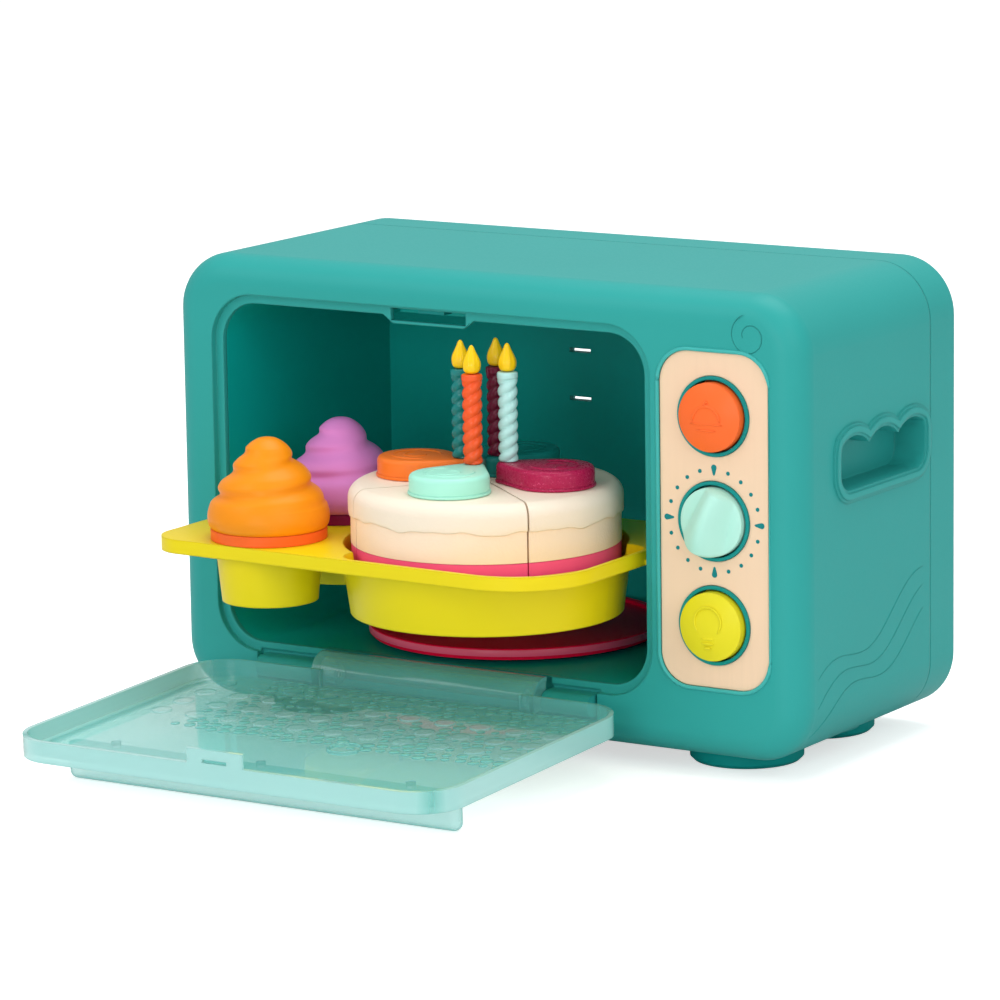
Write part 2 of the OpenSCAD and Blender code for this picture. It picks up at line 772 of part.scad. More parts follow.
// Front view of the opening with the land for the latch.
module opening_view() {
  difference() {
    rounded(open_left, open_bottom, open_width, open_height, open_radius);
    polygon([
      [open_mid - latch_land_width / 2, open_top + over],
      [open_mid - latch_land_width / 2, open_top],
      [open_mid - latch_land_width / 2 + latch_land_slant, land_bottom],
      [open_mid + latch_land_width / 2 - latch_land_slant, land_bottom],
      [open_mid + latch_land_width / 2, open_top],
      [open_mid + latch_land_width / 2, open_top + over]]);
  }
}

// Space swept by the guard of the door.
module trough_cut() {
  intersection() {
    rod_x(hinge_y, hinge_z, trough_radius, left_lug_end, right_lug_start);
    span(left_lug_end, right_lug_start, hinge_y - trough_wall, hinge_y + trough_wall,
      hinge_z - guard_radius * sin(guard_tail) - 2 * guard_play, hinge_z + trough_wall);
  }
}

module front_shell() {
  color([0.2, 0.65, 0.63]) placed() {
    difference() {
      union() {
        difference() {
          rounded_block(0, 0, body_width, body_height, corner_radius, front_fillet,
            0, seam_depth - seam_gap / 2);
          rounded_block(shell_wall, shell_wall, body_width - 2 * shell_wall,
            body_height - 2 * shell_wall, inner_radius, inner_fillet,
            shell_wall, seam_depth + over);
        }
        along_y(shell_wall / 2, flange_back)
          rounded(recess_left - frame_wall, recess_bottom - frame_wall,
            recess_width + 2 * frame_wall, recess_height + 2 * frame_wall,
            recess_radius + frame_wall);
        span(notch_left - frame_wall, notch_right + frame_wall, shell_wall / 2,
          liner_front - fit_gap, notch_bottom - frame_wall, open_bottom - over);
        intersection() {
          rod_x(hinge_y, hinge_z, trough_wall, left_lug_end - frame_wall,
            right_lug_start + frame_wall);
          span(left_lug_end - frame_wall, right_lug_start + frame_wall, shell_wall / 2,
            hinge_y + trough_wall + over, notch_bottom, open_bottom);
        }
        shell_posts();
        on_both_sides() pocket_body();
        translate([speaker_x, speaker_y, shell_wall / 2])
          cylinder(r = speaker_radius + frame_wall, h = shell_wall / 2 + speaker_ring);
      }
      along_y(-over, flange_front)
        rounded(recess_left, recess_bottom, recess_width, recess_height, recess_radius);
      along_y(-over, flange_back + over) opening_view();
      span(slot_left, slot_left + latch_slot_width, -over, flange_back + over,
        slot_bottom, slot_bottom + latch_slot_height);
      span(notch_left, notch_right, -over, notch_depth, notch_bottom, recess_bottom + over);
      trough_cut();
      along_y(-over, shell_wall + over) rounded(panel_left - panel_gap, panel_bottom - panel_gap,
        panel_width + 2 * panel_gap, panel_height + 2 * panel_gap, panel_radius + panel_gap);
      on_both_sides() pocket_cut();
      screw_places() rod_y(0, 0, screw_radius + screw_grip,
        sleeve_floor - screw_length - over, seam_depth);
      translate([speaker_x, speaker_y, shell_wall])
        cylinder(r = speaker_radius + fit_gap, h = speaker_ring + over);
      for (a = [0:60:300])
        translate([speaker_x + speaker_hole_ring * cos(a),
          speaker_y + speaker_hole_ring * sin(a), -over])
          cylinder(r = speaker_hole, h = shell_wall + 2 * over);
      for (x = foot_x, y = foot_y)
        translate([x, y, -over]) cylinder(r = foot_plug + fit_gap, h = shell_wall + 2 * over);
    }
    difference() {
      for (ends = [[lug_left, left_lug_end], [right_lug_start, lug_right]]) {
        rod_x(hinge_y, hinge_z, lug_radius, ends[0], ends[1]);
        span(ends[0], ends[1], hinge_y, notch_depth + fit_gap, hinge_z - lug_radius,
          hinge_z + lug_radius);
      }
      rod_x(hinge_y, hinge_z, pin_radius + screw_grip, left_lug_end - pin_grip,
        right_lug_start + pin_grip);
    }
  }
}

module back_cover() {
  cover_depth = body_depth - seam_depth - seam_gap / 2;
  lip_in = shell_wall + fit_gap;
  color([0.18, 0.6, 0.58]) placed() {
    difference() {
      union() {
        difference() {
          translate([0, body_depth, 0]) mirror([0, 1, 0])
            rounded_block(0, 0, body_width, body_height, corner_radius, back_fillet,
              0, cover_depth);
          along_y(seam_depth - over, cover_inner)
            rounded(cover_wall, cover_wall, body_width - 2 * cover_wall,
              body_height - 2 * cover_wall, corner_radius - cover_wall);
        }
        difference() {
          along_y(seam_depth - cover_lip_depth, cover_inner)
            rounded(lip_in, lip_in, body_width - 2 * lip_in, body_height - 2 * lip_in,
              corner_radius - lip_in);
          along_y(seam_depth - cover_lip_depth - over, cover_inner)
            rounded(lip_in + cover_lip_wall, lip_in + cover_lip_wall,
              body_width - 2 * lip_in - 2 * cover_lip_wall,
              body_height - 2 * lip_in - 2 * cover_lip_wall,
              corner_radius - lip_in - cover_lip_wall);
          for (x = mid_post_x)
            span(x - lip_notch, x + lip_notch, seam_depth - cover_lip_depth - over,
              seam_depth + cover_lip_depth, mid_post_z - 2 * post_radius,
              body_height - lip_in + touch);
          for (x = foot_x)
            span(x - lip_notch, x + lip_notch, seam_depth - cover_lip_depth - over,
              seam_depth, 0, cover_wall + 2 * cover_lip_wall);
          on_both_sides()
            along_x(body_width - lip_in - cover_lip_wall - over, body_width)
              pocket_view(shell_wall + fit_gap);
        }
        screw_places() rod_y(0, 0, post_radius, sleeve_front, cover_inner + cover_wall / 4);
      }
      screw_places() {
        rod_y(0, 0, screw_radius + fit_gap, sleeve_front - over, body_depth + over);
        rod_y(0, 0, screw_head + hatch_play, sleeve_floor, body_depth + over);
      }
      span(box_x - hatch_width / 2 - hatch_play, box_x + hatch_width / 2 + hatch_play,
        cover_inner - over, body_depth + over, hatch_bottom - hatch_play,
        hatch_bottom + hatch_height + hatch_play);
      for (z = [vent_low, vent_low + vent_pitch])
        span(vent_x - vent_width / 2, vent_x + vent_width / 2, cover_inner - over,
          body_depth + over, z - vent_height / 2, z + vent_height / 2);
    }
  }
}

// Front view of the cavity wall, grown.
module cavity_view(grow) {
  rounded(open_left - grow, open_bottom - grow, open_width + 2 * grow, open_height + 2 * grow,
    open_radius + grow);
}

module cavity_liner() {
  groove_low = tab_low - tab_play;
  groove_high = tab_low + tab_height + tab_play;
  color([0.0, 0.36, 0.35]) placed()
    difference() {
      union() {
        along_y(liner_front, liner_rear) cavity_view(liner_wall);
        along_y(liner_front, liner_front + liner_wall) cavity_view(liner_wall + liner_lip);
        span(open_left - groove_depth - liner_wall, open_left, liner_front, liner_rear,
          groove_low - liner_wall, groove_high + liner_wall);
        span(open_right, open_right + groove_depth + liner_wall, liner_front, liner_rear,
          groove_low - liner_wall, groove_high + liner_wall);
        translate([turntable_x, turntable_y, open_bottom - liner_wall])
          cylinder(r = pivot_radius, h = liner_wall + turntable_gap - tab_play);
      }
      difference() {
        along_y(liner_front - over, liner_back) cavity_view(0);
        translate([turntable_x, turntable_y, open_bottom - over])
          cylinder(r = pivot_radius, h = over + turntable_gap - tab_play);
      }
      span(open_left - groove_depth, open_left + over, groove_front, groove_back,
        groove_low, groove_high);
      span(open_right - over, open_right + groove_depth, groove_front, groove_back,
        groove_low, groove_high);
      rod_x(hinge_y, hinge_z, trough_wall + fit_gap, left_lug_end - frame_wall - fit_gap,
        right_lug_start + frame_wall + fit_gap);
      span(slot_left - over, slot_left + latch_slot_width + over, liner_front - over,
        liner_front + tongue_reach, land_bottom - over, open_top + 2 * latch_slot_height);
      translate([turntable_x, turntable_y, open_bottom - liner_wall - over])
        cylinder(r = spindle_radius + spindle_play / 2,
          h = liner_wall + turntable_gap + 2 * over);
      for (z = [vent_low, vent_low + vent_pitch])
        span(vent_x - vent_width / 2, vent_x + vent_width / 2, liner_back - over,
          liner_rear + over, z - vent_height / 2, z + vent_height / 2);
    }
}

module control_panel() {
  color([0.93, 0.81, 0.68]) placed()
    difference() {
      union() {
        along_y(panel_face, panel_back)
          rounded(panel_left, panel_bottom, panel_width, panel_height, panel_radius);
        along_y(edge_front, edge_back)
          rounded(panel_left - panel_edge, panel_bottom - panel_edge,
            panel_width + 2 * panel_edge, panel_height + 2 * panel_edge,
            panel_radius + panel_edge);
        for (x = board_post_x, z = board_post_z)
          rod_y(x, z, board_post, edge_back - fit_gap, board_depth - fit_gap);
      }
      for (z = concat(button_heights, [dial_height]))
        rod_y(panel_x, z, hole_radius, -over, edge_back + over);
      for (x = board_post_x, z = board_post_z)
        rod_y(x, z, board_screw + screw_grip, board_depth - board_screw_length - over,
          board_depth + over);
    }
}

module button_collars() {
  color([0.1, 0.55, 0.54]) placed() {
    for (z = concat(button_heights, [dial_height]))
      difference() {
        union() {
          rod_y(panel_x, z, hole_radius - fit_gap, panel_face - collar_rise, collar_back);
          rod_y(panel_x, z, hole_radius + collar_wall, edge_back + fit_gap,
            edge_back + fit_gap + collar_wall);
        }
        rod_y(panel_x, z, collar_inner, -over, collar_back + over);
      }
    difference() {
      rod_y(panel_x, dial_height, collar_inner + collar_wall / 3, collar_back - collar_wall,
        collar_back);
      rod_y(panel_x, dial_height, shaft_radius + shaft_play, 0, collar_back + over);
    }
  }
}

// A hollow sprung push button with a domed face.
module push_button(z) {
  dome = (button_radius * button_radius + button_dome * button_dome) / (2 * button_dome);
  difference() {
    union() {
      intersection() {
        rod_y(panel_x, z, button_radius, -button_reach - over, button_back);
        translate([panel_x, dome - button_reach, z]) sphere(r = dome, $fn = 96);
      }
      rod_y(panel_x, z, button_flange, collar_back + fit_gap, button_back);
    }
    rod_y(panel_x, z, button_radius - cap_wall, cap_front, button_back + over);
  }
  rod_y(panel_x, z, stem_radius, cap_front - cap_wall / 4, stem_end);
}

module top_button() {
  color([0.95, 0.5, 0.2]) placed() push_button(button_heights[0]);
}

module bottom_button() {
  color([0.95, 0.8, 0.15]) placed() push_button(button_heights[1]);
}

// A coil spring shown as a stack of rings.
module button_spring(z) {
  spring_front = cap_front + fit_gap;
  spring_back = board_depth - fit_gap;
  pitch = (spring_back - spring_front - 2 * spring_wire) / (spring_coils - 1);
  for (coil = [0 : spring_coils - 1])
    translate([panel_x, spring_front + spring_wire + coil * pitch, z]) rotate([90, 0, 0])
      rotate_extrude() translate([spring_radius, 0]) circle(spring_wire, $fn = 24);
  for (side = [-1, 1])
    rod_y(panel_x + side * spring_radius, z, spring_tie, spring_front + spring_wire,
      spring_back - spring_wire);
}

module top_spring() {
  color([0.75, 0.76, 0.78]) placed() button_spring(button_heights[0]);
}

module bottom_spring() {
  color([0.75, 0.76, 0.78]) placed() button_spring(button_heights[1]);
}

module timer_dial() {
  half = button_radius - fit_gap;
  ball = grip_reach + panel_width / 3;
  color([0.6, 0.9, 0.8]) placed() {
    rod_y(panel_x, dial_height, button_radius, -dial_reach, collar_back - collar_wall - fit_gap);
    rod_y(panel_x, dial_height, shaft_radius, 0, board_depth - switch_height - fit_gap);
    translate([panel_x, 0, dial_height]) rotate([0, grip_lean, 0])
      intersection() {
        along_y(-grip_reach, fit_gap - dial_reach)
          polygon([[-grip_thick / 2, -half], [grip_thick / 2, -half],
            [grip_thin / 2, half], [-grip_thin / 2, half]]);
        rod_y(0, 0, half, -grip_reach - over, 0);
        translate([0, ball - grip_reach, 0]) sphere(r = ball, $fn = 96);
      }
  }
}

module dial_clip() {
  color([0.7, 0.71, 0.73]) placed()
    difference() {
      rod_y(panel_x, dial_height, shaft_radius + clip_width, collar_back + hatch_play,
        collar_back + hatch_play + clip_wall);
      rod_y(panel_x, dial_height, shaft_radius + screw_grip, collar_back,
        collar_back + clip_wall + over);
    }
}

module control_board() {
  color([0.15, 0.4, 0.2]) placed()
    difference() {
      span(board_left, board_left + board_width, board_depth, board_depth + board_wall,
        board_bottom, board_bottom + board_height);
      for (x = board_post_x, z = board_post_z)
        rod_y(x, z, board_screw + fit_gap, board_depth - over, board_depth + board_wall + over);
    }
}

module push_switches() {
  color([0.12, 0.12, 0.13]) placed()
    for (z = button_heights) {
      span(panel_x - switch_half, panel_x + switch_half, board_depth - switch_height,
        board_depth - solder_gap, z - switch_half, z + switch_half);
      rod_y(panel_x, z, switch_half / 2, board_depth - switch_height - switch_stem,
        board_depth - switch_height + fit_gap);
    }
}

module dial_switch() {
  color([0.15, 0.15, 0.17]) placed()
    span(panel_x - 2 * switch_half, panel_x + 2 * switch_half, board_depth - switch_height,
      board_depth - solder_gap, dial_height - 2 * switch_half, dial_height + 2 * switch_half);
}

module board_screws() {
  color([0.7, 0.71, 0.73]) placed()
    for (x = board_post_x, z = board_post_z) {
      rod_y(x, z, board_screw, board_depth - board_screw_length,
        board_depth + board_wall + fit_gap);
      rod_y(x, z, 2 * board_screw, board_depth + board_wall + fit_gap / 2,
        board_depth + board_wall + board_screw);
    }
}

module speaker() {
  color([0.2, 0.2, 0.22]) placed() translate([speaker_x, speaker_y, shell_wall + solder_gap]) {
    cylinder(r = speaker_radius, h = speaker_ring);
    translate([0, 0, speaker_ring - touch])
      cylinder(r1 = speaker_radius - speaker_ring, r2 = magnet_radius, h = magnet_height);
    translate([0, 0, speaker_ring + magnet_height - 2 * touch])
      cylinder(r = magnet_radius, h = magnet_height);
  }
}

module battery_box() {
  left = box_x - box_width / 2;
  color([0.2, 0.55, 0.54]) placed()
    difference() {
      union() {
        span(left, left + box_width, box_front, box_back, box_bottom, box_top);
        rod_y(box_x, hatch_screw_z, hatch_boss, box_front, box_back);
      }
      span(left + box_wall, left + box_width - box_wall, box_front + box_wall, box_back + over,
        box_bottom + box_wall, box_top - box_wall);
      rod_y(box_x, hatch_screw_z, screw_radius + screw_grip,
        box_back - hatch_screw_length - over, box_back + over);
    }
}

module battery_contacts() {
  inner = box_width / 2 - box_wall;
  color([0.8, 0.78, 0.7]) placed()
    for (side = [-1, 1]) {
      near = box_x + side * (inner - contact_wall);
      span(near - contact_wall / 2, near + contact_wall / 2, cell_y - contact_half,
        cell_y + contact_half, box_mid - cell_pitch - contact_half,
        box_mid + cell_pitch + contact_half);
    }
}

module batteries() {
  color([0.35, 0.37, 0.4]) placed()
    for (row = [-1, 0, 1]) {
      turn = row == 0 ? -1 : 1;
      low = box_x - cell_length / 2 + (turn < 0 ? cell_tip : 0);
      rod_x(cell_y, box_mid + row * cell_pitch, cell_radius, low, low + cell_length - cell_tip);
      rod_x(cell_y, box_mid + row * cell_pitch, 2 * cell_tip, box_x - cell_length / 2,
        box_x + cell_length / 2);
    }
}

module battery_hatch() {
  color([0.17, 0.58, 0.56]) placed()
    difference() {
      span(box_x - hatch_width / 2, box_x + hatch_width / 2, cover_inner + solder_gap,
        body_depth - solder_gap, hatch_bottom, hatch_bottom + hatch_height);
      rod_y(box_x, hatch_screw_z, screw_radius + hatch_play, cover_inner - over,
        body_depth + over);
      rod_y(box_x, hatch_screw_z, screw_head + hatch_play, cover_inner + cover_wall / 2,
        body_depth + over);
    }
}

// A cross-shaped slot in a screw head.
module cross_slot(from_y, to_y, head) {
  span(-head * slot_reach, head * slot_reach, from_y, to_y, -slot_width / 2, slot_width / 2);
  span(-slot_width / 2, slot_width / 2, from_y, to_y, -head * slot_reach, head * slot_reach);
}

module hatch_screw() {
  color([0.7, 0.71, 0.73]) placed() {
    rod_y(box_x, hatch_screw_z, screw_radius, box_back - hatch_screw_length,
      cover_inner + cover_wall / 2 + fit_gap);
    difference() {
      rod_y(box_x, hatch_screw_z, screw_head, cover_inner + cover_wall / 2 + solder_gap,
        body_depth - fit_gap);
      translate([box_x, 0, hatch_screw_z])
        cross_slot(body_depth - cover_wall / 4, body_depth, screw_head);
    }
  }
}

module case_screws() {
  color([0.7, 0.71, 0.73]) placed()
    screw_places() {
      rod_y(0, 0, screw_radius, sleeve_floor - screw_length, sleeve_floor + fit_gap);
      difference() {
        rod_y(0, 0, screw_head, sleeve_floor + fit_gap / 2, sleeve_floor + screw_radius);
        cross_slot(sleeve_floor + screw_radius / 2, sleeve_floor + screw_radius + over,
          screw_head);
      }
    }
}

module feet() {
  color([0.13, 0.5, 0.49]) placed()
    for (x = foot_x, y = foot_y) translate([x, y, -foot_height]) {
      cylinder(r1 = foot_radius - foot_edge, r2 = foot_radius, h = foot_edge);
      translate([0, 0, foot_edge - touch])
        cylinder(r = foot_radius, h = foot_height - foot_edge - 4 * touch);
      translate([0, 0, foot_height - over]) cylinder(r = foot_plug, h = shell_wall + 2 * over);
    }
}

module latch_catch() {
  color([0.1, 0.5, 0.49]) placed() {
    span(open_mid - catch_half, open_mid + catch_half, flange_back + fit_gap,
      flange_back + tongue_reach, door_top + catch_gap, door_top + catch_gap + catch_wall);
    span(open_mid - catch_half, open_mid + catch_half, flange_back + fit_gap,
      flange_back + fit_gap + catch_wall, door_top + catch_gap,
      slot_bottom + latch_slot_height + frame_wall);
  }
}

module hinge_pins() {
  color([0.75, 0.76, 0.78]) placed() {
    rod_x(hinge_y, hinge_z, pin_radius, left_lug_end - pin_grip + fit_gap, guard_left + pin_reach);
    rod_x(hinge_y, hinge_z, pin_radius, guard_right - pin_reach,
      right_lug_start + pin_grip - fit_gap);
  }
}

// Side view of the door part inside the trough.
module guard_sector(radius) {
  far = 3 * guard_radius;
  intersection() {
    translate([hinge_y, hinge_z]) circle(radius);
    translate([hinge_y, hinge_z])
      polygon([[0, 0], [far * cos(guard_tail), -far * sin(guard_tail)], [far, far], [0, far]]);
  }
}

// The closed door.
module closed_door() {
  ends = [[guard_left + solder_gap, guard_left + guard_end, guard_left + pin_reach + over],
    [guard_right - guard_end, guard_right - solder_gap, guard_right - pin_reach - over]];
  difference() {
    union() {
      difference() {
        along_y(door_front, rim_back)
          rounded(door_left, door_bottom, door_width, door_height, door_radius);
        along_y(door_front + door_skin, rim_back + over)
          rounded(door_left + door_rim, door_bottom + door_rim, door_width - 2 * door_rim,
            door_height - 2 * door_rim, door_radius - door_rim);
        span(guard_left + 2 * guard_end, guard_right - 2 * guard_end, door_front + door_skin,
          rim_back + over, door_bottom - over, door_bottom + door_rim + fit_gap);
      }
      along_x(guard_left, guard_right) {
        difference() {
          guard_sector(guard_radius);
          translate([hinge_y, hinge_z]) circle(guard_radius - guard_wall);
        }
        translate([door_front, hinge_z + guard_radius - guard_wall])
          square([hinge_y - door_front + fit_gap, guard_wall]);
      }
      for (end = ends) {
        along_x(end[0], end[1]) {
          guard_sector(guard_radius - guard_wall / 2);
          translate([door_front + door_skin / 2, hinge_z])
            square([hinge_y - door_front - door_skin / 2 + solder_gap,
              guard_radius - guard_wall / 2]);
        }
        rod_x(hinge_y, hinge_z, pin_boss, min(end[0] + 2 * fit_gap, end[2]),
          max(end[1] - 2 * fit_gap, end[2]));
      }
      along_y(door_front + door_skin, rim_back + tongue_reach)
        rounded(open_mid - tongue_width / 2, door_top - tongue_wall, tongue_width,
          tongue_wall, tongue_wall / 2 - solder_gap / 2);
      along_y(door_front + door_skin - fit_gap, door_front + door_skin + dot_height)
        for (row = [0 : dot_rows - 1], column = [-dot_side : dot_side])
          translate([door_left + door_width / 2 + column * dot_pitch,
            door_bottom + dot_rise + row * dot_row_pitch]) circle(dot_radius);
    }
    for (end = ends)
      rod_x(hinge_y, hinge_z, pin_radius + pin_play, min(end[0] - over, end[2]),
        max(end[1] + over, end[2]));
    span(open_mid - tongue_slot / 2, open_mid + tongue_slot / 2, rim_back + tongue_wall / 3,
      rim_back + tongue_wall / 3 + tongue_slot_height, door_top - 2 * tongue_wall, door_top + over);
    for (step = [-1, 0, 1])
      rod_y(grip_middle + step * grip_stud_pitch, hinge_z + grip_rise, grip_stud + solder_gap / 2,
        door_front - over, door_front + door_skin + over);
  }
}

module oven_door() {
  color([0.72, 0.88, 0.87]) placed() opened() closed_door();
}

module door_handle() {
  axis_y = hinge_y + grip_axis_y;
  axis_z = hinge_z + grip_rise;
  left = grip_left + grip_radius;
  right = grip_left + grip_length - grip_radius;
  color([0.1, 0.55, 0.54]) placed() opened() {
    span(left, right, axis_y, door_front - solder_gap / 2, axis_z - grip_radius,
      axis_z + grip_radius);
    rod_x(axis_y, axis_z, grip_radius, left, right);
    for (x = [left, right]) {
      rod_y(x, axis_z, grip_radius, axis_y, door_front - solder_gap / 2);
      translate([x, axis_y, axis_z]) sphere(r = grip_radius);
    }
    for (step = [-1, 0, 1])
      rod_y(grip_middle + step * grip_stud_pitch, axis_z, grip_stud,
        door_front - over, door_front + door_skin - fit_gap);
  }
}

module turntable_spindle() {
  color([0.75, 0.76, 0.78]) placed() translate([turntable_x, turntable_y, 0]) {
    translate([0, 0, open_bottom - liner_wall - solder_gap - spindle_foot])
      cylinder(r = pivot_radius - over, h = spindle_foot);
    translate([0, 0, open_bottom - liner_wall - spindle_foot])
      cylinder(r = spindle_radius, h = spindle_foot + liner_wall + turntable_gap + spindle_tip);
  }
}

module turntable() {
  color([0.6, 0.1, 0.2]) placed() translate([turntable_x, turntable_y, turntable_bottom])
    difference() {
      union() {
        cylinder(r = turntable_radius - turntable_step, h = turntable_step + touch);
        translate([0, 0, turntable_step])
          cylinder(r = turntable_radius, h = turntable_height - turntable_step);
      }
      translate([0, 0, turntable_height - turntable_dish])
        cylinder(r = turntable_radius - turntable_rim, h = turntable_dish + over);
      translate([0, 0, -over])
        cylinder(r = spindle_radius + spindle_play, h = over + spindle_tip + 2 * fit_gap);
    }
}

// A loop of straight edges round circles, each given as [x, y, radius].
module loop_view(rounds) {
  count = len(rounds);
  polygon([for (i = [0 : count - 1]) each edge_ends(rounds[i], rounds[(i + 1) % count])]);
  for (c = rounds) translate([c[0], c[1]]) circle(c[2]);
}

// Ends of the straight edge along two circles.
function edge_ends(a, b) =
  let (far = norm([b[0] - a[0], b[1] - a[1]]))
  let (out = atan2(b[1] - a[1], b[0] - a[0]) - acos((a[2] - b[2]) / far))
  [for (c = [a, b]) [c[0] + (c[2] - touch) * cos(out), c[1] + (c[2] - touch) * sin(out)]];

// Top view of the tray outline, shrunk.
module tray_view(inset) {
  loop_view([
    [tray_left + tray_radius_left, tray_front + tray_taper + tray_radius_left,
      tray_radius_left - inset],
    [tray_right - tray_radius_front, tray_front + tray_radius_front, tray_radius_front - inset],
    [tray_right - tray_radius_back, tray_back - tray_radius_back, tray_radius_back - inset],
    [tray_left + tray_radius_left, tray_back - tray_taper - tray_radius_left,
      tray_radius_left - inset]]);
}

// Top view of the lowered ground.
module shelf_view(inset) {
  loop_view([
    [shelf_left + shelf_radius, tray_front + tray_taper / 2 + tray_rim + shelf_radius,
      shelf_radius - inset],
    [tray_right - tray_radius_front, tray_front + tray_radius_front,
      tray_radius_front - tray_rim - inset],
    [tray_right - tray_rim - shelf_radius, pan_y + shelf_radius, shelf_radius - inset],
    [pan_x, pan_y + shelf_radius, shelf_radius - inset]]);
}

// A round well hanging below the tray.
module well(x, y, floor_z, low, high) {
  translate([x, y, floor_z]) cylinder(r1 = low, r2 = high, h = tray_top - floor_z, $fn = 96);
}

module baking_tray() {
  color([0.85, 0.82, 0.15]) placed()
    difference() {
      union() {
        difference() {
          translate([0, 0, tray_low]) linear_extrude(tray_skirt) tray_view(0);
          translate([0, 0, tray_low - over])
            linear_extrude(tray_skirt - tray_wall + over) tray_view(tray_wall);
        }
        translate([0, 0, tray_low]) linear_extrude(tray_skirt) shelf_view(-tray_wall);
        well(pan_x, pan_y, pan_floor, pan_radius_low, pan_radius_top);
        well(cup_x, cup_front_y, cup_floor, cup_radius_low, cup_radius_top);
        well(cup_x, cup_back_y, cup_floor, cup_radius_low, cup_radius_top);
        span(open_left - groove_depth + tab_play, tray_left + tray_wall, tab_front, tab_end,
          tab_low, tab_low + tab_height);
        span(tray_right - tray_wall, open_right + groove_depth - tab_play, tab_front, tab_end,
          tab_low, tab_low + tab_height);
      }
      translate([pan_x, pan_y, pan_floor + tray_wall])
        cylinder(r1 = pan_radius_low - tray_wall, r2 = pan_radius_top - tray_wall,
          h = pan_depth - tray_wall + touch, $fn = 96);
      for (y = [cup_front_y, cup_back_y])
        translate([cup_x, y, cup_floor + tray_wall])
          cylinder(r1 = cup_radius_low - tray_wall, r2 = cup_radius_top - tray_wall,
            h = cup_depth - tray_wall + touch, $fn = 96);
      translate([0, 0, tray_low + tray_wall]) linear_extrude(tray_skirt) shelf_view(0);
    }
}

// A cupcake case that hangs in the tray.
module cupcake_base(y) {
  low = cup_radius_low - tray_wall - food_play;
  high = cup_radius_top - tray_wall - food_play;
  translate([cup_x, y, 0])
    difference() {
      union() {
        translate([0, 0, cupcake_floor])
          cylinder(r1 = low, r2 = high, h = rim_bottom - cupcake_floor + touch);
        translate([0, 0, rim_bottom]) cylinder(r = cupcake_rim, h = cupcake_rim_height);
      }
      translate([0, 0, cupcake_floor - over])
        cylinder(r1 = low - food_wall, r2 = high - food_wall,
          h = rim_bottom - cupcake_floor + over);
      translate([0, 0, rim_top - plug_length - peg_play])
        cylinder(r = plug_radius + peg_play, h = plug_length + over);
    }
}

// A swirl of topping made of soft stacked tiers.
module cupcake_swirl(y) {
  translate([cup_x, y, swirl_bottom]) difference() {
    union() {
      for (tier = [0 : 3]) {
        r = swirl_radius * (1 - tier_shrink * tier);
        bead = tier_bead - tier_bead_step * tier;
        rise = tier_bead + tier_pitch * tier;
        translate([0, 0, rise]) rotate_extrude() translate([r - bead, 0]) circle(bead, $fn = 40);
        translate([0, 0, rise - bead]) cylinder(r = r - bead, h = 2 * bead);
      }
      translate([0, 0, swirl_height - swirl_tip]) sphere(r = swirl_tip);
      translate([0, 0, -plug_length]) cylinder(r = plug_radius, h = plug_length + over);
    }
    translate([0, 0, -plug_length - over])
      cylinder(r = plug_radius - food_wall, h = swirl_height / 2 + plug_length);
  }
}

module cupcake_base_front() {
  color([0.98, 0.45, 0.25]) placed() cupcake_base(cup_front_y);
}

module cupcake_swirl_front() {
  color([0.96, 0.58, 0.15]) placed() cupcake_swirl(cup_front_y);
}

module cupcake_base_back() {
  color([0.55, 0.1, 0.35]) placed() cupcake_base(cup_back_y);
}

module cupcake_swirl_back() {
  color([0.85, 0.52, 0.8]) placed() cupcake_swirl(cup_back_y);
}

// Top view of one quarter of the cake.
module quarter_view(margin) {
  far = 2 * cake_radius;
  tip = margin / sin(45);
  polygon([[tip, 0], [tip + far, -far], [tip + far, far]]);
}

// Moves a piece of the cake to its slice.
module on_slice(index) {
  translate([pan_x, pan_y, 0]) rotate([0, 0, slice_angles[index]]) children();
}

module slice_base(index) {
  color([0.94, 0.3, 0.45]) placed() on_slice(index)
    difference() {
      intersection() {
        union() {
          translate([0, 0, base_bottom])
            cylinder(r1 = base_low_radius, r2 = cake_radius,
              h = tray_low - base_bottom + touch, $fn = 96);
          translate([0, 0, tray_low])
            cylinder(r = cake_radius, h = cake_split - tray_low, $fn = 96);
        }
        translate([0, 0, base_bottom - over])
          linear_extrude(cake_split - base_bottom + 2 * over) quarter_view(cut_half);
      }
      intersection() {
        translate([0, 0, base_bottom - over])
          cylinder(r = base_low_radius - food_wall,
            h = cake_split - food_wall - base_bottom + over);
        translate([0, 0, base_bottom - over])
          linear_extrude(cake_split - base_bottom) quarter_view(cut_half + food_wall);
      }
    }
}

module slice_top(index) {
  icing = cake_radius + icing_overhang;
  bottom = cake_split + fit_gap;
  color([0.98, 0.93, 0.85]) placed() on_slice(index)
    difference() {
      intersection() {
        union() {
          translate([0, 0, bottom])
            cylinder(r = cake_radius, h = icing_line - bottom + touch, $fn = 96);
          translate([0, 0, icing_line])
            cylinder(r = icing, h = icing_height - icing_round, $fn = 96);
          translate([0, 0, icing_line]) cylinder(r = icing - icing_round, h = icing_height);
          translate([0, 0, cake_top - icing_round]) rotate_extrude($fn = 96)
            translate([icing - icing_round, 0]) circle(icing_round, $fn = 48);
        }
        translate([0, 0, bottom - over]) linear_extrude(cake_top - bottom + 2 * over)
          quarter_view(cut_half);
      }
      intersection() {
        translate([0, 0, bottom - over])
          cylinder(r = cake_radius - food_wall, h = cake_top - food_wall - bottom + over);
        translate([0, 0, bottom - over]) linear_extrude(cake_top - bottom)
          quarter_view(cut_half + food_wall);
      }
    }
}

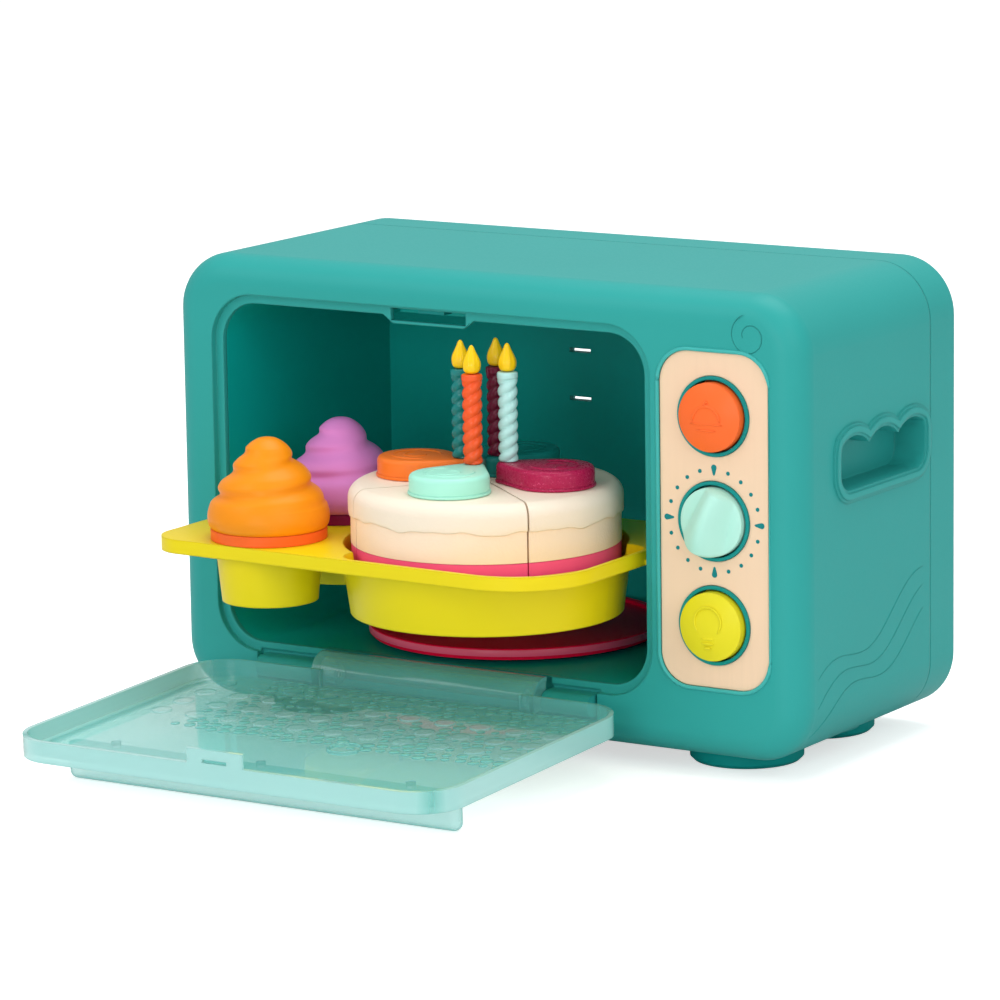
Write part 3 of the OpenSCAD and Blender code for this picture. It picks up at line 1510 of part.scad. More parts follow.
// A round topping with a tail that reaches the candle.
module topping(index) {
  color([0.9, 0.4, 0.2]) placed() on_slice(index)
    difference() {
      translate([0, 0, topping_bottom]) linear_extrude(topping_height)
        loop_view([[candle_place, 0, tail_radius], [topping_place, 0, topping_radius]]);
      translate([candle_place, 0, topping_top - candle_peg - 2 * peg_play])
        cylinder(r = candle_peg_radius + peg_play, h = candle_peg + over);
    }
}

module candle(index) {
  color([0.3, 0.7, 0.68]) placed() on_slice(index) translate([candle_place, 0, candle_bottom]) {
    cylinder(r = candle_radius, h = candle_height - collar_height + touch);
    translate([0, 0, candle_height - collar_height]) cylinder(r = collar_radius, h = collar_height);
    translate([0, 0, -candle_peg]) cylinder(r = candle_peg_radius, h = candle_peg + over);
  }
}

module flame(index) {
  rise = flame_radius * (1 + sin(flame_slope));
  color([1, 0.8, 0.1]) placed() on_slice(index)
    translate([candle_place, 0, candle_top + flame_lift]) {
      translate([0, 0, flame_radius]) sphere(r = flame_radius);
      translate([0, 0, rise])
        cylinder(r1 = flame_radius * cos(flame_slope), r2 = flame_tip,
          h = flame_height - rise - flame_tip);
      translate([0, 0, flame_height - flame_tip]) sphere(r = flame_tip);
    }
}

module slice_base_right() { slice_base(0); }
module slice_base_back() { slice_base(1); }
module slice_base_left() { slice_base(2); }
module slice_base_front() { slice_base(3); }
module slice_top_right() { slice_top(0); }
module slice_top_back() { slice_top(1); }
module slice_top_left() { slice_top(2); }
module slice_top_front() { slice_top(3); }
module topping_right() { topping(0); }
module topping_back() { topping(1); }
module topping_left() { topping(2); }
module topping_front() { topping(3); }
module candle_right() { candle(0); }
module candle_back() { candle(1); }
module candle_left() { candle(2); }
module candle_front() { candle(3); }
module flame_right() { flame(0); }
module flame_back() { flame(1); }
module flame_left() { flame(2); }
module flame_front() { flame(3); }

front_shell();
back_cover();
cavity_liner();
control_panel();
button_collars();
top_button();
timer_dial();
bottom_button();
top_spring();
bottom_spring();
dial_clip();
control_board();
push_switches();
dial_switch();
board_screws();
speaker();
battery_box();
battery_contacts();
batteries();
battery_hatch();
hatch_screw();
case_screws();
feet();
latch_catch();
hinge_pins();
oven_door();
door_handle();
turntable_spindle();
turntable();
baking_tray();
cupcake_base_front();
cupcake_swirl_front();
cupcake_base_back();
cupcake_swirl_back();
slice_base_front();
slice_top_front();
slice_base_right();
slice_top_right();
slice_base_back();
slice_top_back();
slice_base_left();
slice_top_left();
topping_front();
topping_right();
topping_back();
topping_left();
candle_front();
flame_front();
candle_right();
flame_right();
candle_back();
flame_back();
candle_left();
flame_left();
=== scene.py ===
"""Looks of the toy oven: door, tray, play cake, cupcakes, candles and controls round the fixed CAD frame."""

import logging
import math
from contextlib import contextmanager
from dataclasses import dataclass, field
from enum import Enum
from typing import Any, Callable, Iterable, Iterator, Sequence

import bpy
from mathutils import Matrix, Vector


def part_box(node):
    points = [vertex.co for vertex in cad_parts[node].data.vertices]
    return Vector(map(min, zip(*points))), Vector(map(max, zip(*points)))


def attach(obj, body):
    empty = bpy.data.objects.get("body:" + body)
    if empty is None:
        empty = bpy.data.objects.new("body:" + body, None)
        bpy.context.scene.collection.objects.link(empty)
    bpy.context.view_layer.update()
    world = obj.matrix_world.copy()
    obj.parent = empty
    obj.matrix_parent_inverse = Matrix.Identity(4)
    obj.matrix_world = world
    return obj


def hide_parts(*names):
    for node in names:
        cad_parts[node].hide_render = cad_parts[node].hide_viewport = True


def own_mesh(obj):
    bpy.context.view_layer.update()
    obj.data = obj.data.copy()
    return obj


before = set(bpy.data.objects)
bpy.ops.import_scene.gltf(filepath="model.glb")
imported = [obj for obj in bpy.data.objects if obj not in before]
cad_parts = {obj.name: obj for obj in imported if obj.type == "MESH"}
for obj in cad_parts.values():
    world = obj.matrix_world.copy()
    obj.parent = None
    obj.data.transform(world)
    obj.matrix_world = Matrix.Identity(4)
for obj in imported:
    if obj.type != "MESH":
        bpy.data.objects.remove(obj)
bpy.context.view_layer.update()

LOG = logging.getLogger("toy_oven")
Point = tuple[float, float, float]
Flat = tuple[float, float]
Colour = tuple[float, float, float]
Socket = bpy.types.NodeSocket
Piece = bpy.types.Object

# Working measures are millimetres from the case's lower front left corner.
SHIFT = Vector((-0.155, 0.0111445, 0.008))
MM = 0.001
# Corners that lie closer than this are merged.
DOUBLE = 0.002
FULL_TURN = 2 * math.pi
DARK, BRIGHT = (0.0, 0.0, 0.0, 1.0), (1.0, 1.0, 1.0, 1.0)


class Sheen(Enum):
    """The families of finish that the toy shows."""

    SATIN = "satin"
    GLOSS = "gloss"
    MILKY = "milky"
    TINTED = "tinted"
    METAL = "metal"
    RUBBER = "rubber"
    GLITTER = "glitter"
    GRAIN = "grain"
    BOARD = "board"


# What each family changes in the plain satin shader.
SHEEN_INPUTS: dict[Sheen, dict[str, float]] = {
    Sheen.GLOSS: {"Coat Weight": 0.22, "Coat Roughness": 0.1},
    Sheen.MILKY: {"Specular IOR Level": 0.5, "Coat Weight": 1.0, "Coat Roughness": 0.04},
    Sheen.TINTED: {"Specular IOR Level": 0.05},
    Sheen.METAL: {"Metallic": 1.0},
    Sheen.RUBBER: {"Specular IOR Level": 0.15}}


def linear(value: float) -> float:
    """Returns the linear value of a display value from 0 to 1."""
    return value / 12.92 if value <= 0.04045 else ((value + 0.055) / 1.055) ** 2.4


def paint(red: int, green: int, blue: int) -> Colour:
    """Returns the linear colour of a display colour of 0 to 255."""
    return (linear(red / 255), linear(green / 255), linear(blue / 255))


@dataclass(frozen=True)
class Wires:
    """Shader nodes of one tree."""

    tree: bpy.types.NodeTree

    @staticmethod
    def of(owner: bpy.types.ID) -> "Wires":
        """Empties the node tree of a material or a world.

        Args:
            owner: The material or world.

        Returns:
            Its empty tree.
        """
        owner.use_nodes = True
        owner.node_tree.nodes.clear()
        return Wires(owner.node_tree)

    def add(self, kind: str, inputs: dict[str | int, Any], **settings: Any) -> bpy.types.Node:
        """Adds one node.

        Args:
            kind: Kind of the node, without the word ShaderNode.
            inputs: Value of each input, or the socket that feeds it.
            settings: Settings of the node, made before its inputs.

        Returns:
            The new node.
        """
        made = self.tree.nodes.new(f"ShaderNode{kind}")
        for name, value in settings.items():
            setattr(made, name, value)
        for name, value in inputs.items():
            if isinstance(value, Socket):
                self.tree.links.new(value, made.inputs[name])
            else:
                made.inputs[name].default_value = value
        return made

    def mix(self, share: Socket, first: Any, second: Any) -> Socket:
        """Returns the mix of two colours, each given as a value or a socket."""
        return self.add("Mix", {"Factor": share, "A": first, "B": second}, data_type="RGBA").outputs["Result"]

    def compute(self, operation: str, *values: Any, clamped: bool = False) -> Socket:
        """Returns the result of a sum on numbers or sockets."""
        made = self.add("Math", dict(enumerate(values)), operation=operation, use_clamp=clamped)
        return made.outputs["Value"]

    def spread(self, value: Socket, **ends: float) -> Socket:
        """Returns a value mapped to new ends, named with a low line for each space."""
        ranges = {name.replace("_", " "): end for name, end in ends.items()}
        return self.add("MapRange", {"Value": value} | ranges).outputs["Result"]

    def ramp(self, value: Socket, low: float, high: float) -> Socket:
        """Lays a ramp from black to white.

        Args:
            value: Value that is read on the ramp.
            low: Where black ends.
            high: Where white starts.

        Returns:
            The colour on the ramp.
        """
        made = self.add("ValToRGB", {"Fac": value})
        made.color_ramp.elements[0].position = low
        made.color_ramp.elements[1].position = high
        return made.outputs["Color"]

    def direct_view(self) -> Socket:
        """Returns 1 for rays from the camera, also through clear plastic, and 0 for the others."""
        path = self.add("LightPath", {}).outputs
        return self.compute("MAXIMUM", path["Is Camera Ray"], path["Is Transmission Ray"])


@dataclass(frozen=True)
class Finish:
    """One procedural surface finish.

    Attributes:
        name: Name of the material.
        colour: Linear base colour.
        sheen: Family of the finish.
        rough: Middle roughness.
        drift: How much lighter and darker the colour wanders.
        orange_peel: Strength of the fine moulded texture.
        edge: Radius in mm of the softened edges.
    """

    name: str
    colour: Colour
    sheen: Sheen = Sheen.SATIN
    rough: float = 0.42
    drift: float = 0.035
    orange_peel: float = 0.05
    edge: float = 0.6

    def shade(self, factor: float) -> tuple[float, float, float, float]:
        """Returns the base colour made lighter or darker by a factor."""
        return tuple(min(1.0, c * factor) for c in self.colour) + (1.0,)

    def material(self) -> bpy.types.Material:
        """Builds the material, or returns it if it was built before.

        Returns:
            The procedural material.
        """
        label = f"finish_{self.name}"
        known = bpy.data.materials.get(label)
        if known:
            return known
        made = bpy.data.materials.new(label)
        wires = Wires.of(made)
        place = wires.add("TexCoord", {}).outputs["Object"]
        wander = wires.add("TexNoise", {"Vector": place, "Scale": 14.0, "Detail": 3.0})
        colour = wires.mix(wander.outputs["Fac"], self.shade(1 - self.drift), self.shade(1 + self.drift))
        grain = wires.add("TexNoise", {"Vector": place, "Scale": 900.0, "Detail": 2.0}).outputs["Fac"]
        rough = wires.spread(grain, To_Min=max(0.02, self.rough - 0.05), To_Max=min(1.0, self.rough + 0.05))
        soft = wires.add("Bevel", {"Radius": self.edge * MM}, samples=4)
        bump = wires.add("Bump", {"Strength": self.orange_peel, "Distance": 0.0004, "Height": grain,
                                  "Normal": soft.outputs["Normal"]})
        patterns = {Sheen.MILKY: self.pale_rim, Sheen.GLITTER: self.glitter,
                    Sheen.GRAIN: self.wood_grain, Sheen.BOARD: self.traces}
        if self.sheen in patterns:
            colour = patterns[self.sheen](wires, place, colour)
        shader = wires.add("BsdfPrincipled", {
            "Base Color": colour, "Roughness": rough, "Normal": bump.outputs["Normal"],
            "Specular IOR Level": 0.22} | SHEEN_INPUTS.get(self.sheen, {}))
        surface = shader.outputs["BSDF"]
        if self.sheen is Sheen.MILKY:
            surface = self.film(wires, place, surface)
        wires.add("OutputMaterial", {"Surface": surface})
        return made

    @staticmethod
    def rim(wires: Wires, place: Socket) -> Socket:
        """Measures how near a point is to the rim of the open door.

        Args:
            wires: Nodes of the material.
            place: Object coordinates.

        Returns:
            A share that falls to nothing a few millimetres inwards.
        """
        low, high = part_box("oven_door")
        spot = wires.add("SeparateXYZ", {"Vector": place}).outputs
        left = wires.compute("SUBTRACT", spot["X"], low[0])
        right = wires.compute("SUBTRACT", high[0], spot["X"])
        front = wires.compute("SUBTRACT", spot["Y"], low[1])
        near = wires.compute("MINIMUM", wires.compute("MINIMUM", left, right), front)
        return wires.spread(near, From_Min=0.0025, From_Max=0.0065, To_Min=0.42, To_Max=0.0)

    def pale_rim(self, wires: Wires, place: Socket, colour: Socket) -> Socket:
        """Returns the colour with a paler rim."""
        return wires.mix(self.rim(wires, place), colour, paint(214, 242, 240) + (1.0,))

    def film(self, wires: Wires, place: Socket, surface: Socket) -> Socket:
        """Lets light through the plastic, less where it is seen from the side and at the rim of the door.

        Args:
            wires: Nodes of the material.
            place: Object coordinates.
            surface: Shader of the plastic itself.

        Returns:
            The shader of the film.
        """
        slant = wires.add("LayerWeight", {"Blend": 0.3})
        share = wires.spread(slant.outputs["Facing"], To_Min=0.24, To_Max=0.86)
        full = wires.compute("ADD", share, self.rim(wires, place), clamped=True)
        clear = wires.add("BsdfTransparent", {"Color": (0.9, 0.96, 0.955, 1.0)})
        both = wires.add("MixShader", {"Fac": full, 1: clear.outputs["BSDF"], 2: surface})
        return both.outputs["Shader"]

    def glitter(self, wires: Wires, place: Socket, colour: Socket) -> Socket:
        """Returns the colour with small bright flakes."""
        cells = wires.add("TexVoronoi", {"Vector": place, "Scale": 2600.0}).outputs["Color"]
        return wires.mix(wires.ramp(cells, 0.8, 0.93), colour, paint(214, 84, 128) + (1.0,))

    def wood_grain(self, wires: Wires, place: Socket, colour: Socket) -> Socket:
        """Returns the colour with a faint upright grain."""
        stretch = wires.add("Mapping", {"Vector": place, "Scale": (1.0, 1.0, 0.06)}).outputs["Vector"]
        lines = wires.add("TexNoise", {"Vector": stretch, "Scale": 520.0, "Detail": 4.0}).outputs["Fac"]
        return wires.mix(wires.ramp(lines, 0.42, 0.72), colour, self.shade(0.985))

    def traces(self, wires: Wires, place: Socket, colour: Socket) -> Socket:
        """Returns the colour with the faint tracks of a circuit board."""
        laid = wires.add("Mapping", {"Vector": place, "Rotation": (math.pi / 2, 0.0, 0.0)}).outputs["Vector"]
        tracks = wires.add("TexBrick", {"Vector": laid, "Scale": 60.0, "Mortar Size": 0.012,
                                        "Color1": DARK, "Color2": DARK, "Mortar": BRIGHT})
        return wires.mix(tracks.outputs["Color"], colour, self.shade(1.9))


TEAL = Finish("case_teal", paint(44, 161, 156), rough=0.45, edge=1.3)
# Lighter teal than the case: a painted highlight along the rounded bead round the panel.
BEAD_HIGHLIGHT = Finish("bead_highlight_teal", paint(64, 178, 173), rough=0.35, edge=0.3)
TEAL_DEEP = Finish("deep_teal", paint(8, 146, 142), rough=0.4)
CAVITY = Finish("cavity_teal", paint(0, 172, 165), rough=0.5)
BEIGE = Finish("panel_beige", paint(244, 212, 180), Sheen.GRAIN, rough=0.5)
ORANGE = Finish("button_orange", paint(252, 110, 46), rough=0.38)
MINT = Finish("dial_mint", paint(184, 238, 222), rough=0.4)
LIME = Finish("button_lime", paint(232, 220, 34), rough=0.38)
MILK = Finish("door_milk", paint(140, 224, 219), Sheen.MILKY, rough=0.07, edge=0.5)
MILK_DEEP = Finish("handle_milk", paint(132, 220, 216), Sheen.MILKY, rough=0.12, edge=0.8)
TRAY = Finish("tray_lime", paint(240, 216, 16), rough=0.36, edge=1.4)
CRIMSON = Finish("turntable_crimson", paint(240, 6, 62), Sheen.TINTED, rough=0.45)
STEEL = Finish("steel", paint(190, 192, 196), Sheen.METAL, rough=0.3, edge=0.15)
BRASS = Finish("contact_brass", paint(205, 180, 110), Sheen.METAL, rough=0.35, edge=0.1)
BOARD = Finish("board_green", paint(28, 96, 52), Sheen.BOARD, rough=0.35, edge=0.1)
BLACK = Finish("black_plastic", paint(32, 32, 36), rough=0.5, edge=0.2)
CELL = Finish("cell_wrap", paint(92, 98, 108), Sheen.GLOSS, rough=0.3, edge=0.4)
FOOT = Finish("foot_rubber", paint(0, 152, 148), Sheen.RUBBER, rough=0.62)
CASE_ORANGE = Finish("cupcake_case_orange", paint(250, 104, 36))
SWIRL_ORANGE = Finish("swirl_orange", paint(246, 146, 14), rough=0.4, orange_peel=0.1)
CASE_MAGENTA = Finish("cupcake_case_magenta", paint(142, 16, 90))
SWIRL_PINK = Finish("swirl_pink", paint(228, 140, 214), rough=0.4, orange_peel=0.1)
CAKE_PINK = Finish("cake_pink", paint(253, 92, 148))
ICING = Finish("icing_cream", paint(248, 232, 212), rough=0.48, drift=0.015, orange_peel=0.3, edge=0.5)
SPONGE = Finish("sponge_cream", paint(253, 230, 206), rough=0.55, drift=0.02, orange_peel=0.4, edge=0.3)
TOP_ORANGE = Finish("topping_orange", paint(248, 124, 44), rough=0.36)
TOP_MINT = Finish("topping_mint", paint(172, 240, 218), rough=0.4)
TOP_MAGENTA = Finish("topping_magenta", paint(176, 30, 78), Sheen.GLITTER, rough=0.28)
TOP_TEAL = Finish("topping_teal", paint(22, 132, 126), rough=0.36)
CANDLE_ORANGE = Finish("candle_orange", paint(246, 90, 36), Sheen.GLOSS, rough=0.24)
CANDLE_MINT = Finish("candle_mint", paint(186, 234, 230), Sheen.GLOSS, rough=0.24)
CANDLE_MAROON = Finish("candle_maroon", paint(118, 22, 56), Sheen.GLOSS, rough=0.22)
CANDLE_TEAL = Finish("candle_teal", paint(20, 130, 128), Sheen.GLOSS, rough=0.22)
FLAME = Finish("flame_yellow", paint(255, 206, 16), Sheen.GLOSS, rough=0.3)
# Pale rose band on the turntable's rim: a painted highlight.
ROSE_HIGHLIGHT = Finish("turntable_rim_highlight", paint(240, 92, 128), rough=0.3, edge=0.3)
PRINT = Finish("print_teal", paint(10, 132, 134), rough=0.5, edge=0.05)


def clamp(value: float) -> float:
    """Returns the value held between 0 and 1."""
    return max(0.0, min(1.0, value))


def around(centre: Flat, radius: float, angle: float) -> Flat:
    """Returns the point of a circle at an angle in degrees."""
    a = math.radians(angle)
    return (centre[0] + radius * math.cos(a), centre[1] + radius * math.sin(a))


def arc(centre: Flat, radius: float, start: float, end: float, steps: int) -> list[Flat]:
    """Returns the points of an arc between two angles in degrees, both ends included."""
    return [around(centre, radius, start + (end - start) * i / steps) for i in range(steps + 1)]


def blend_between(stops: Sequence[Flat], at: float) -> float:
    """Reads a smooth curve through a few stops.

    Args:
        stops: Pairs of position and value, in order.
        at: Position to read.

    Returns:
        The value there.
    """
    if at <= stops[0][0]:
        return stops[0][1]
    if at >= stops[-1][0]:
        return stops[-1][1]
    i = next(k for k in range(len(stops) - 1) if at <= stops[k + 1][0])
    before, a, b = stops[max(0, i - 1)], stops[i], stops[i + 1]
    after = stops[min(len(stops) - 1, i + 2)]
    span = b[0] - a[0]
    t = (at - a[0]) / span
    slope_a = span * (b[1] - before[1]) / (b[0] - before[0])
    slope_b = span * (after[1] - a[1]) / (after[0] - a[0])
    return (a[1] * (2 * t ** 3 - 3 * t ** 2 + 1) + slope_a * (t ** 3 - 2 * t ** 2 + t)
            + b[1] * (3 * t ** 2 - 2 * t ** 3) + slope_b * (t ** 3 - t ** 2))


def deselect() -> None:
    """Leaves edit mode and deselects everything."""
    if bpy.context.object and bpy.context.object.mode != "OBJECT":
        bpy.ops.object.mode_set(mode="OBJECT")
    bpy.ops.object.select_all(action="DESELECT")


def pick(piece: Piece) -> None:
    """Selects one piece alone and makes it active.

    Args:
        piece: The piece to work on.
    """
    deselect()
    piece.select_set(True)
    bpy.context.view_layer.objects.active = piece


@contextmanager
def opened(piece: Piece) -> Iterator[None]:
    """Opens one piece in edit mode with all of it selected, and closes it again.

    Args:
        piece: The piece to work on.

    Yields:
        Nothing, while the piece is open.
    """
    pick(piece)
    bpy.ops.object.mode_set(mode="EDIT")
    bpy.ops.mesh.select_all(action="SELECT")
    yield
    bpy.ops.object.mode_set(mode="OBJECT")


def loop_of(points: Sequence[Point], filled: bool) -> Piece:
    """Lays a closed loop of points, from a circle whose corners are moved.

    Args:
        points: The loop's points.
        filled: Whether the loop is one face.

    Returns:
        The new piece.
    """
    deselect()
    bpy.ops.mesh.primitive_circle_add(vertices=len(points), radius=1,
                                      fill_type="NGON" if filled else "NOTHING")
    piece = bpy.context.object
    for corner, point in zip(piece.data.vertices, points):
        corner.co = point
    return piece


def tidied(piece: Piece) -> Piece:
    """Merges doubles and points all faces outwards.

    Args:
        piece: The piece to tidy.

    Returns:
        The same piece.
    """
    with opened(piece):
        bpy.ops.mesh.remove_doubles(threshold=DOUBLE)
        bpy.ops.mesh.dissolve_degenerate(threshold=DOUBLE)
        bpy.ops.mesh.normals_make_consistent(inside=False)
    return piece


def turned(profile: Sequence[Flat], steps: int, centre: Flat,
           turn: float = FULL_TURN, filled: bool = False) -> Piece:
    """Spins a closed profile of (radius, height) about an upright axis.

    Args:
        profile: Loop of points as radius and height.
        steps: Steps of the spin.
        centre: Left-right and front-back place of the axis.
        turn: Angle of the spin.
        filled: Whether the ends are closed.

    Returns:
        The new piece.
    """
    piece = loop_of([(r, 0.0, z) for r, z in profile], filled)
    with opened(piece):
        bpy.ops.mesh.spin(steps=steps, angle=turn, center=(0, 0, 0), axis=(0, 0, 1))
    tidied(piece)
    piece.data.transform(Matrix.Translation((*centre, 0.0)))
    return piece


def wrapped(across: int, along: int, place: Callable[[float, float], Point]) -> Piece:
    """Wraps a grid into a closed form.

    Args:
        across: Faces round the form.
        along: Faces from the start to the end of the form.
        place: Gives the point for each (round, along) pair from 0 to 1.

    Returns:
        The new piece.
    """
    deselect()
    bpy.ops.mesh.primitive_grid_add(x_subdivisions=across, y_subdivisions=along, size=2)
    piece = bpy.context.object
    for corner in piece.data.vertices:
        corner.co = place((corner.co.x + 1) / 2, (corner.co.y + 1) / 2)
    return tidied(piece)


def moulded(across: int, along: int, centre: Flat, shape: Callable[[float, float], Point]) -> Piece:
    """Wraps a grid round an upright axis.

    Args:
        across: Faces round the form.
        along: Faces from the start to the end of the form.
        centre: Left-right and front-back place of the axis.
        shape: Gives radius, angle and height for each (round, along) pair from 0 to 1.

    Returns:
        The new piece.
    """
    def place(turn: float, run: float) -> Point:
        """Returns the point for one place of the grid."""
        radius, angle, height = shape(turn, run)
        return (centre[0] + radius * math.cos(angle), centre[1] + radius * math.sin(angle), height)

    return wrapped(across, along, place)


def plate(outline: Sequence[Flat], low: float, high: float) -> Piece:
    """Extrudes a flat outline upwards.

    Args:
        outline: Points of the outline.
        low: Height of the underside.
        high: Height of the top.

    Returns:
        The new piece.
    """
    piece = loop_of([(x, y, low) for x, y in outline], True)
    with opened(piece):
        bpy.ops.mesh.extrude_region_move(TRANSFORM_OT_translate={"value": (0, 0, high - low)})
    return tidied(piece)


def bevelled(piece: Piece, width: float, segments: int) -> Piece:
    """Rounds the sharp edges of a piece.

    Args:
        piece: The piece.
        width: Width of the rounding in mm.
        segments: Steps of the rounding.

    Returns:
        The same piece.
    """
    pick(piece)
    rounding = piece.modifiers.new("rounding", "BEVEL")
    rounding.width = width
    rounding.segments = segments
    rounding.limit_method = "ANGLE"
    rounding.angle_limit = math.radians(60)
    rounding.harden_normals = False
    bpy.ops.object.modifier_apply(modifier=rounding.name)
    return piece


def tube(path: Sequence[Point], radius: float, sides: int = 10) -> Piece:
    """Draws a round bead along a path, which must not run upright.

    Args:
        path: Points of the middle line.
        radius: Radius of the bead.
        sides: Sides of its section.

    Returns:
        The new piece.
    """
    points = [Vector(p) for p in path]
    last = len(points) - 1
    tip_steps = 2.5
    up = Vector((0.03, 0.05, 1.0)).normalized()

    def place(turn: float, run: float) -> Point:
        """Gives a point of the bead.

        Args:
            turn: Share of the way round.
            run: Share of the way along.

        Returns:
            The point.
        """
        i = min(last, round(run * last))
        ahead = (points[min(i + 1, last)] - points[max(i - 1, 0)]).normalized()
        side = ahead.cross(up).normalized()
        rise = side.cross(ahead).normalized()
        thin = radius * math.sqrt(clamp(min(run, 1 - run) * last / tip_steps))
        a = FULL_TURN * turn
        return tuple(points[i] + thin * (math.cos(a) * side + math.sin(a) * rise))

    return wrapped(sides, last, place)


def bow(centre: Flat, radius: float, angles: Iterable[float], wire: float,
        height: float = 0.0, sides: int = 10) -> Piece:
    """Returns a bead of a wire's radius along a flat arc, which is given by the angles of its points."""
    return tube([(*around(centre, radius, a), height) for a in angles], wire, sides)


def bar(half: float, up: float, wire: float) -> Piece:
    """Returns a level bead with half its length and its distance up from the centre."""
    return tube([(half * i / 4, up, 0.0) for i in range(-4, 5)], wire)


def joined(pieces: Sequence[Piece]) -> Piece:
    """Joins several pieces into one.

    Args:
        pieces: The pieces, of which the first one stays.

    Returns:
        The joined piece.
    """
    deselect()
    for piece in pieces:
        piece.select_set(True)
    bpy.context.view_layer.objects.active = pieces[0]
    bpy.ops.object.join()
    return pieces[0]


def upright(piece: Piece, x: float, front: float, z: float) -> Piece:
    """Returns a piece that was drawn flat, stood up at a place with its top to the front."""
    piece.data.transform(Matrix.Translation((x, front, z)) @ Matrix.Rotation(math.pi / 2, 4, "X"))
    return piece


def deliver(piece: Piece, name: str, finish: Finish, body: str, slot: str = "",
            replaced: str = "", smooth: float = 42) -> None:
    """Brings a finished piece into the shared frame and hands it to its body.

    Args:
        piece: The piece, in mm.
        name: Name of the piece.
        finish: Its finish.
        body: CAD body that it rides on.
        slot: Material slot of the record, where it isn't named as the finish; not used.
        replaced: CAD node that it stands for, if any.
        smooth: Largest angle that is shaded smooth, in degrees.
    """
    pick(piece)
    piece.data.transform(Matrix.Translation(SHIFT) @ Matrix.Scale(MM, 4))
    bpy.ops.object.shade_smooth_by_angle(angle=math.radians(smooth))
    piece.name = name
    piece.data.name = name
    piece.data.materials.clear()
    piece.data.materials.append(finish.material())
    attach(piece, body)
    slot or finish.name
    if replaced:
        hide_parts(replaced)
    LOG.info("%s: %d faces on %s", name, len(piece.data.polygons), body)


@dataclass
class Dressing:
    """Gives every CAD node its finish."""

    finishes: dict[str, Finish] = field(default_factory=lambda: {
        "front_shell": TEAL, "back_cover": TEAL, "battery_hatch": TEAL, "cavity_liner": CAVITY,
        "control_panel": BEIGE, "button_collars": TEAL_DEEP, "top_button": ORANGE, "bottom_button": LIME,
        "control_board": BOARD, "push_switches": BLACK, "dial_switch": BLACK, "speaker": BLACK,
        "battery_box": TEAL_DEEP, "battery_contacts": BRASS, "batteries": CELL, "feet": FOOT,
        "latch_catch": TEAL_DEEP, "oven_door": MILK, "door_handle": MILK_DEEP, "turntable": CRIMSON,
        "baking_tray": TRAY, "cupcake_base_front": CASE_ORANGE, "cupcake_base_back": CASE_MAGENTA})

    def finish_of(self, node: str) -> Finish:
        """Returns the finish of a node; those not named are metal, or hidden behind a fuller piece."""
        return CAKE_PINK if node.startswith("slice_base") else self.finishes.get(node, STEEL)

    def build(self) -> None:
        """Assigns the finishes."""
        for node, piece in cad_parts.items():
            finish = self.finish_of(node)
            piece.data.materials.clear()
            piece.data.materials.append(finish.material())
            for face in piece.data.polygons:
                face.material_index = 0
            LOG.info("%s: CAD node in %s", node, finish.name)


@dataclass(frozen=True)
class Quarter:
    """One quarter of the play cake with what stands on it.

    Attributes:
        side: Its name.
        angle: Direction of its middle in degrees.
        topping: Finish of its topping.
        candle: Finish of its candle.
        centre: Place of the cake's axis.
    """

    side: str
    angle: float
    topping: Finish
    candle: Finish
    centre: Flat = (159.0, 1.0)

    def body(self, part: str) -> str:
        """Returns the body of a slice or topping, of which only the front one lifts off."""
        return f"front_{part}" if self.side == "front" else "tray"

    def turned(self, piece: Piece, angle: float, out: float = 0.0) -> None:
        """Turns a piece drawn round the zero point and brings it to the cake, moved out from its axis."""
        spot = Matrix.Translation((*around(self.centre, out, self.angle), 0.0))
        piece.data.transform(spot @ Matrix.Rotation(math.radians(angle), 4, "Z"))


FIRST_QUARTER = 5.0
QUARTERS = (
    Quarter("right", FIRST_QUARTER, TOP_MAGENTA, CANDLE_MINT),
    Quarter("back", FIRST_QUARTER + 90, TOP_TEAL, CANDLE_MAROON),
    Quarter("left", FIRST_QUARTER + 180, TOP_ORANGE, CANDLE_TEAL),
    Quarter("front", FIRST_QUARTER + 270, TOP_MINT, CANDLE_ORANGE))


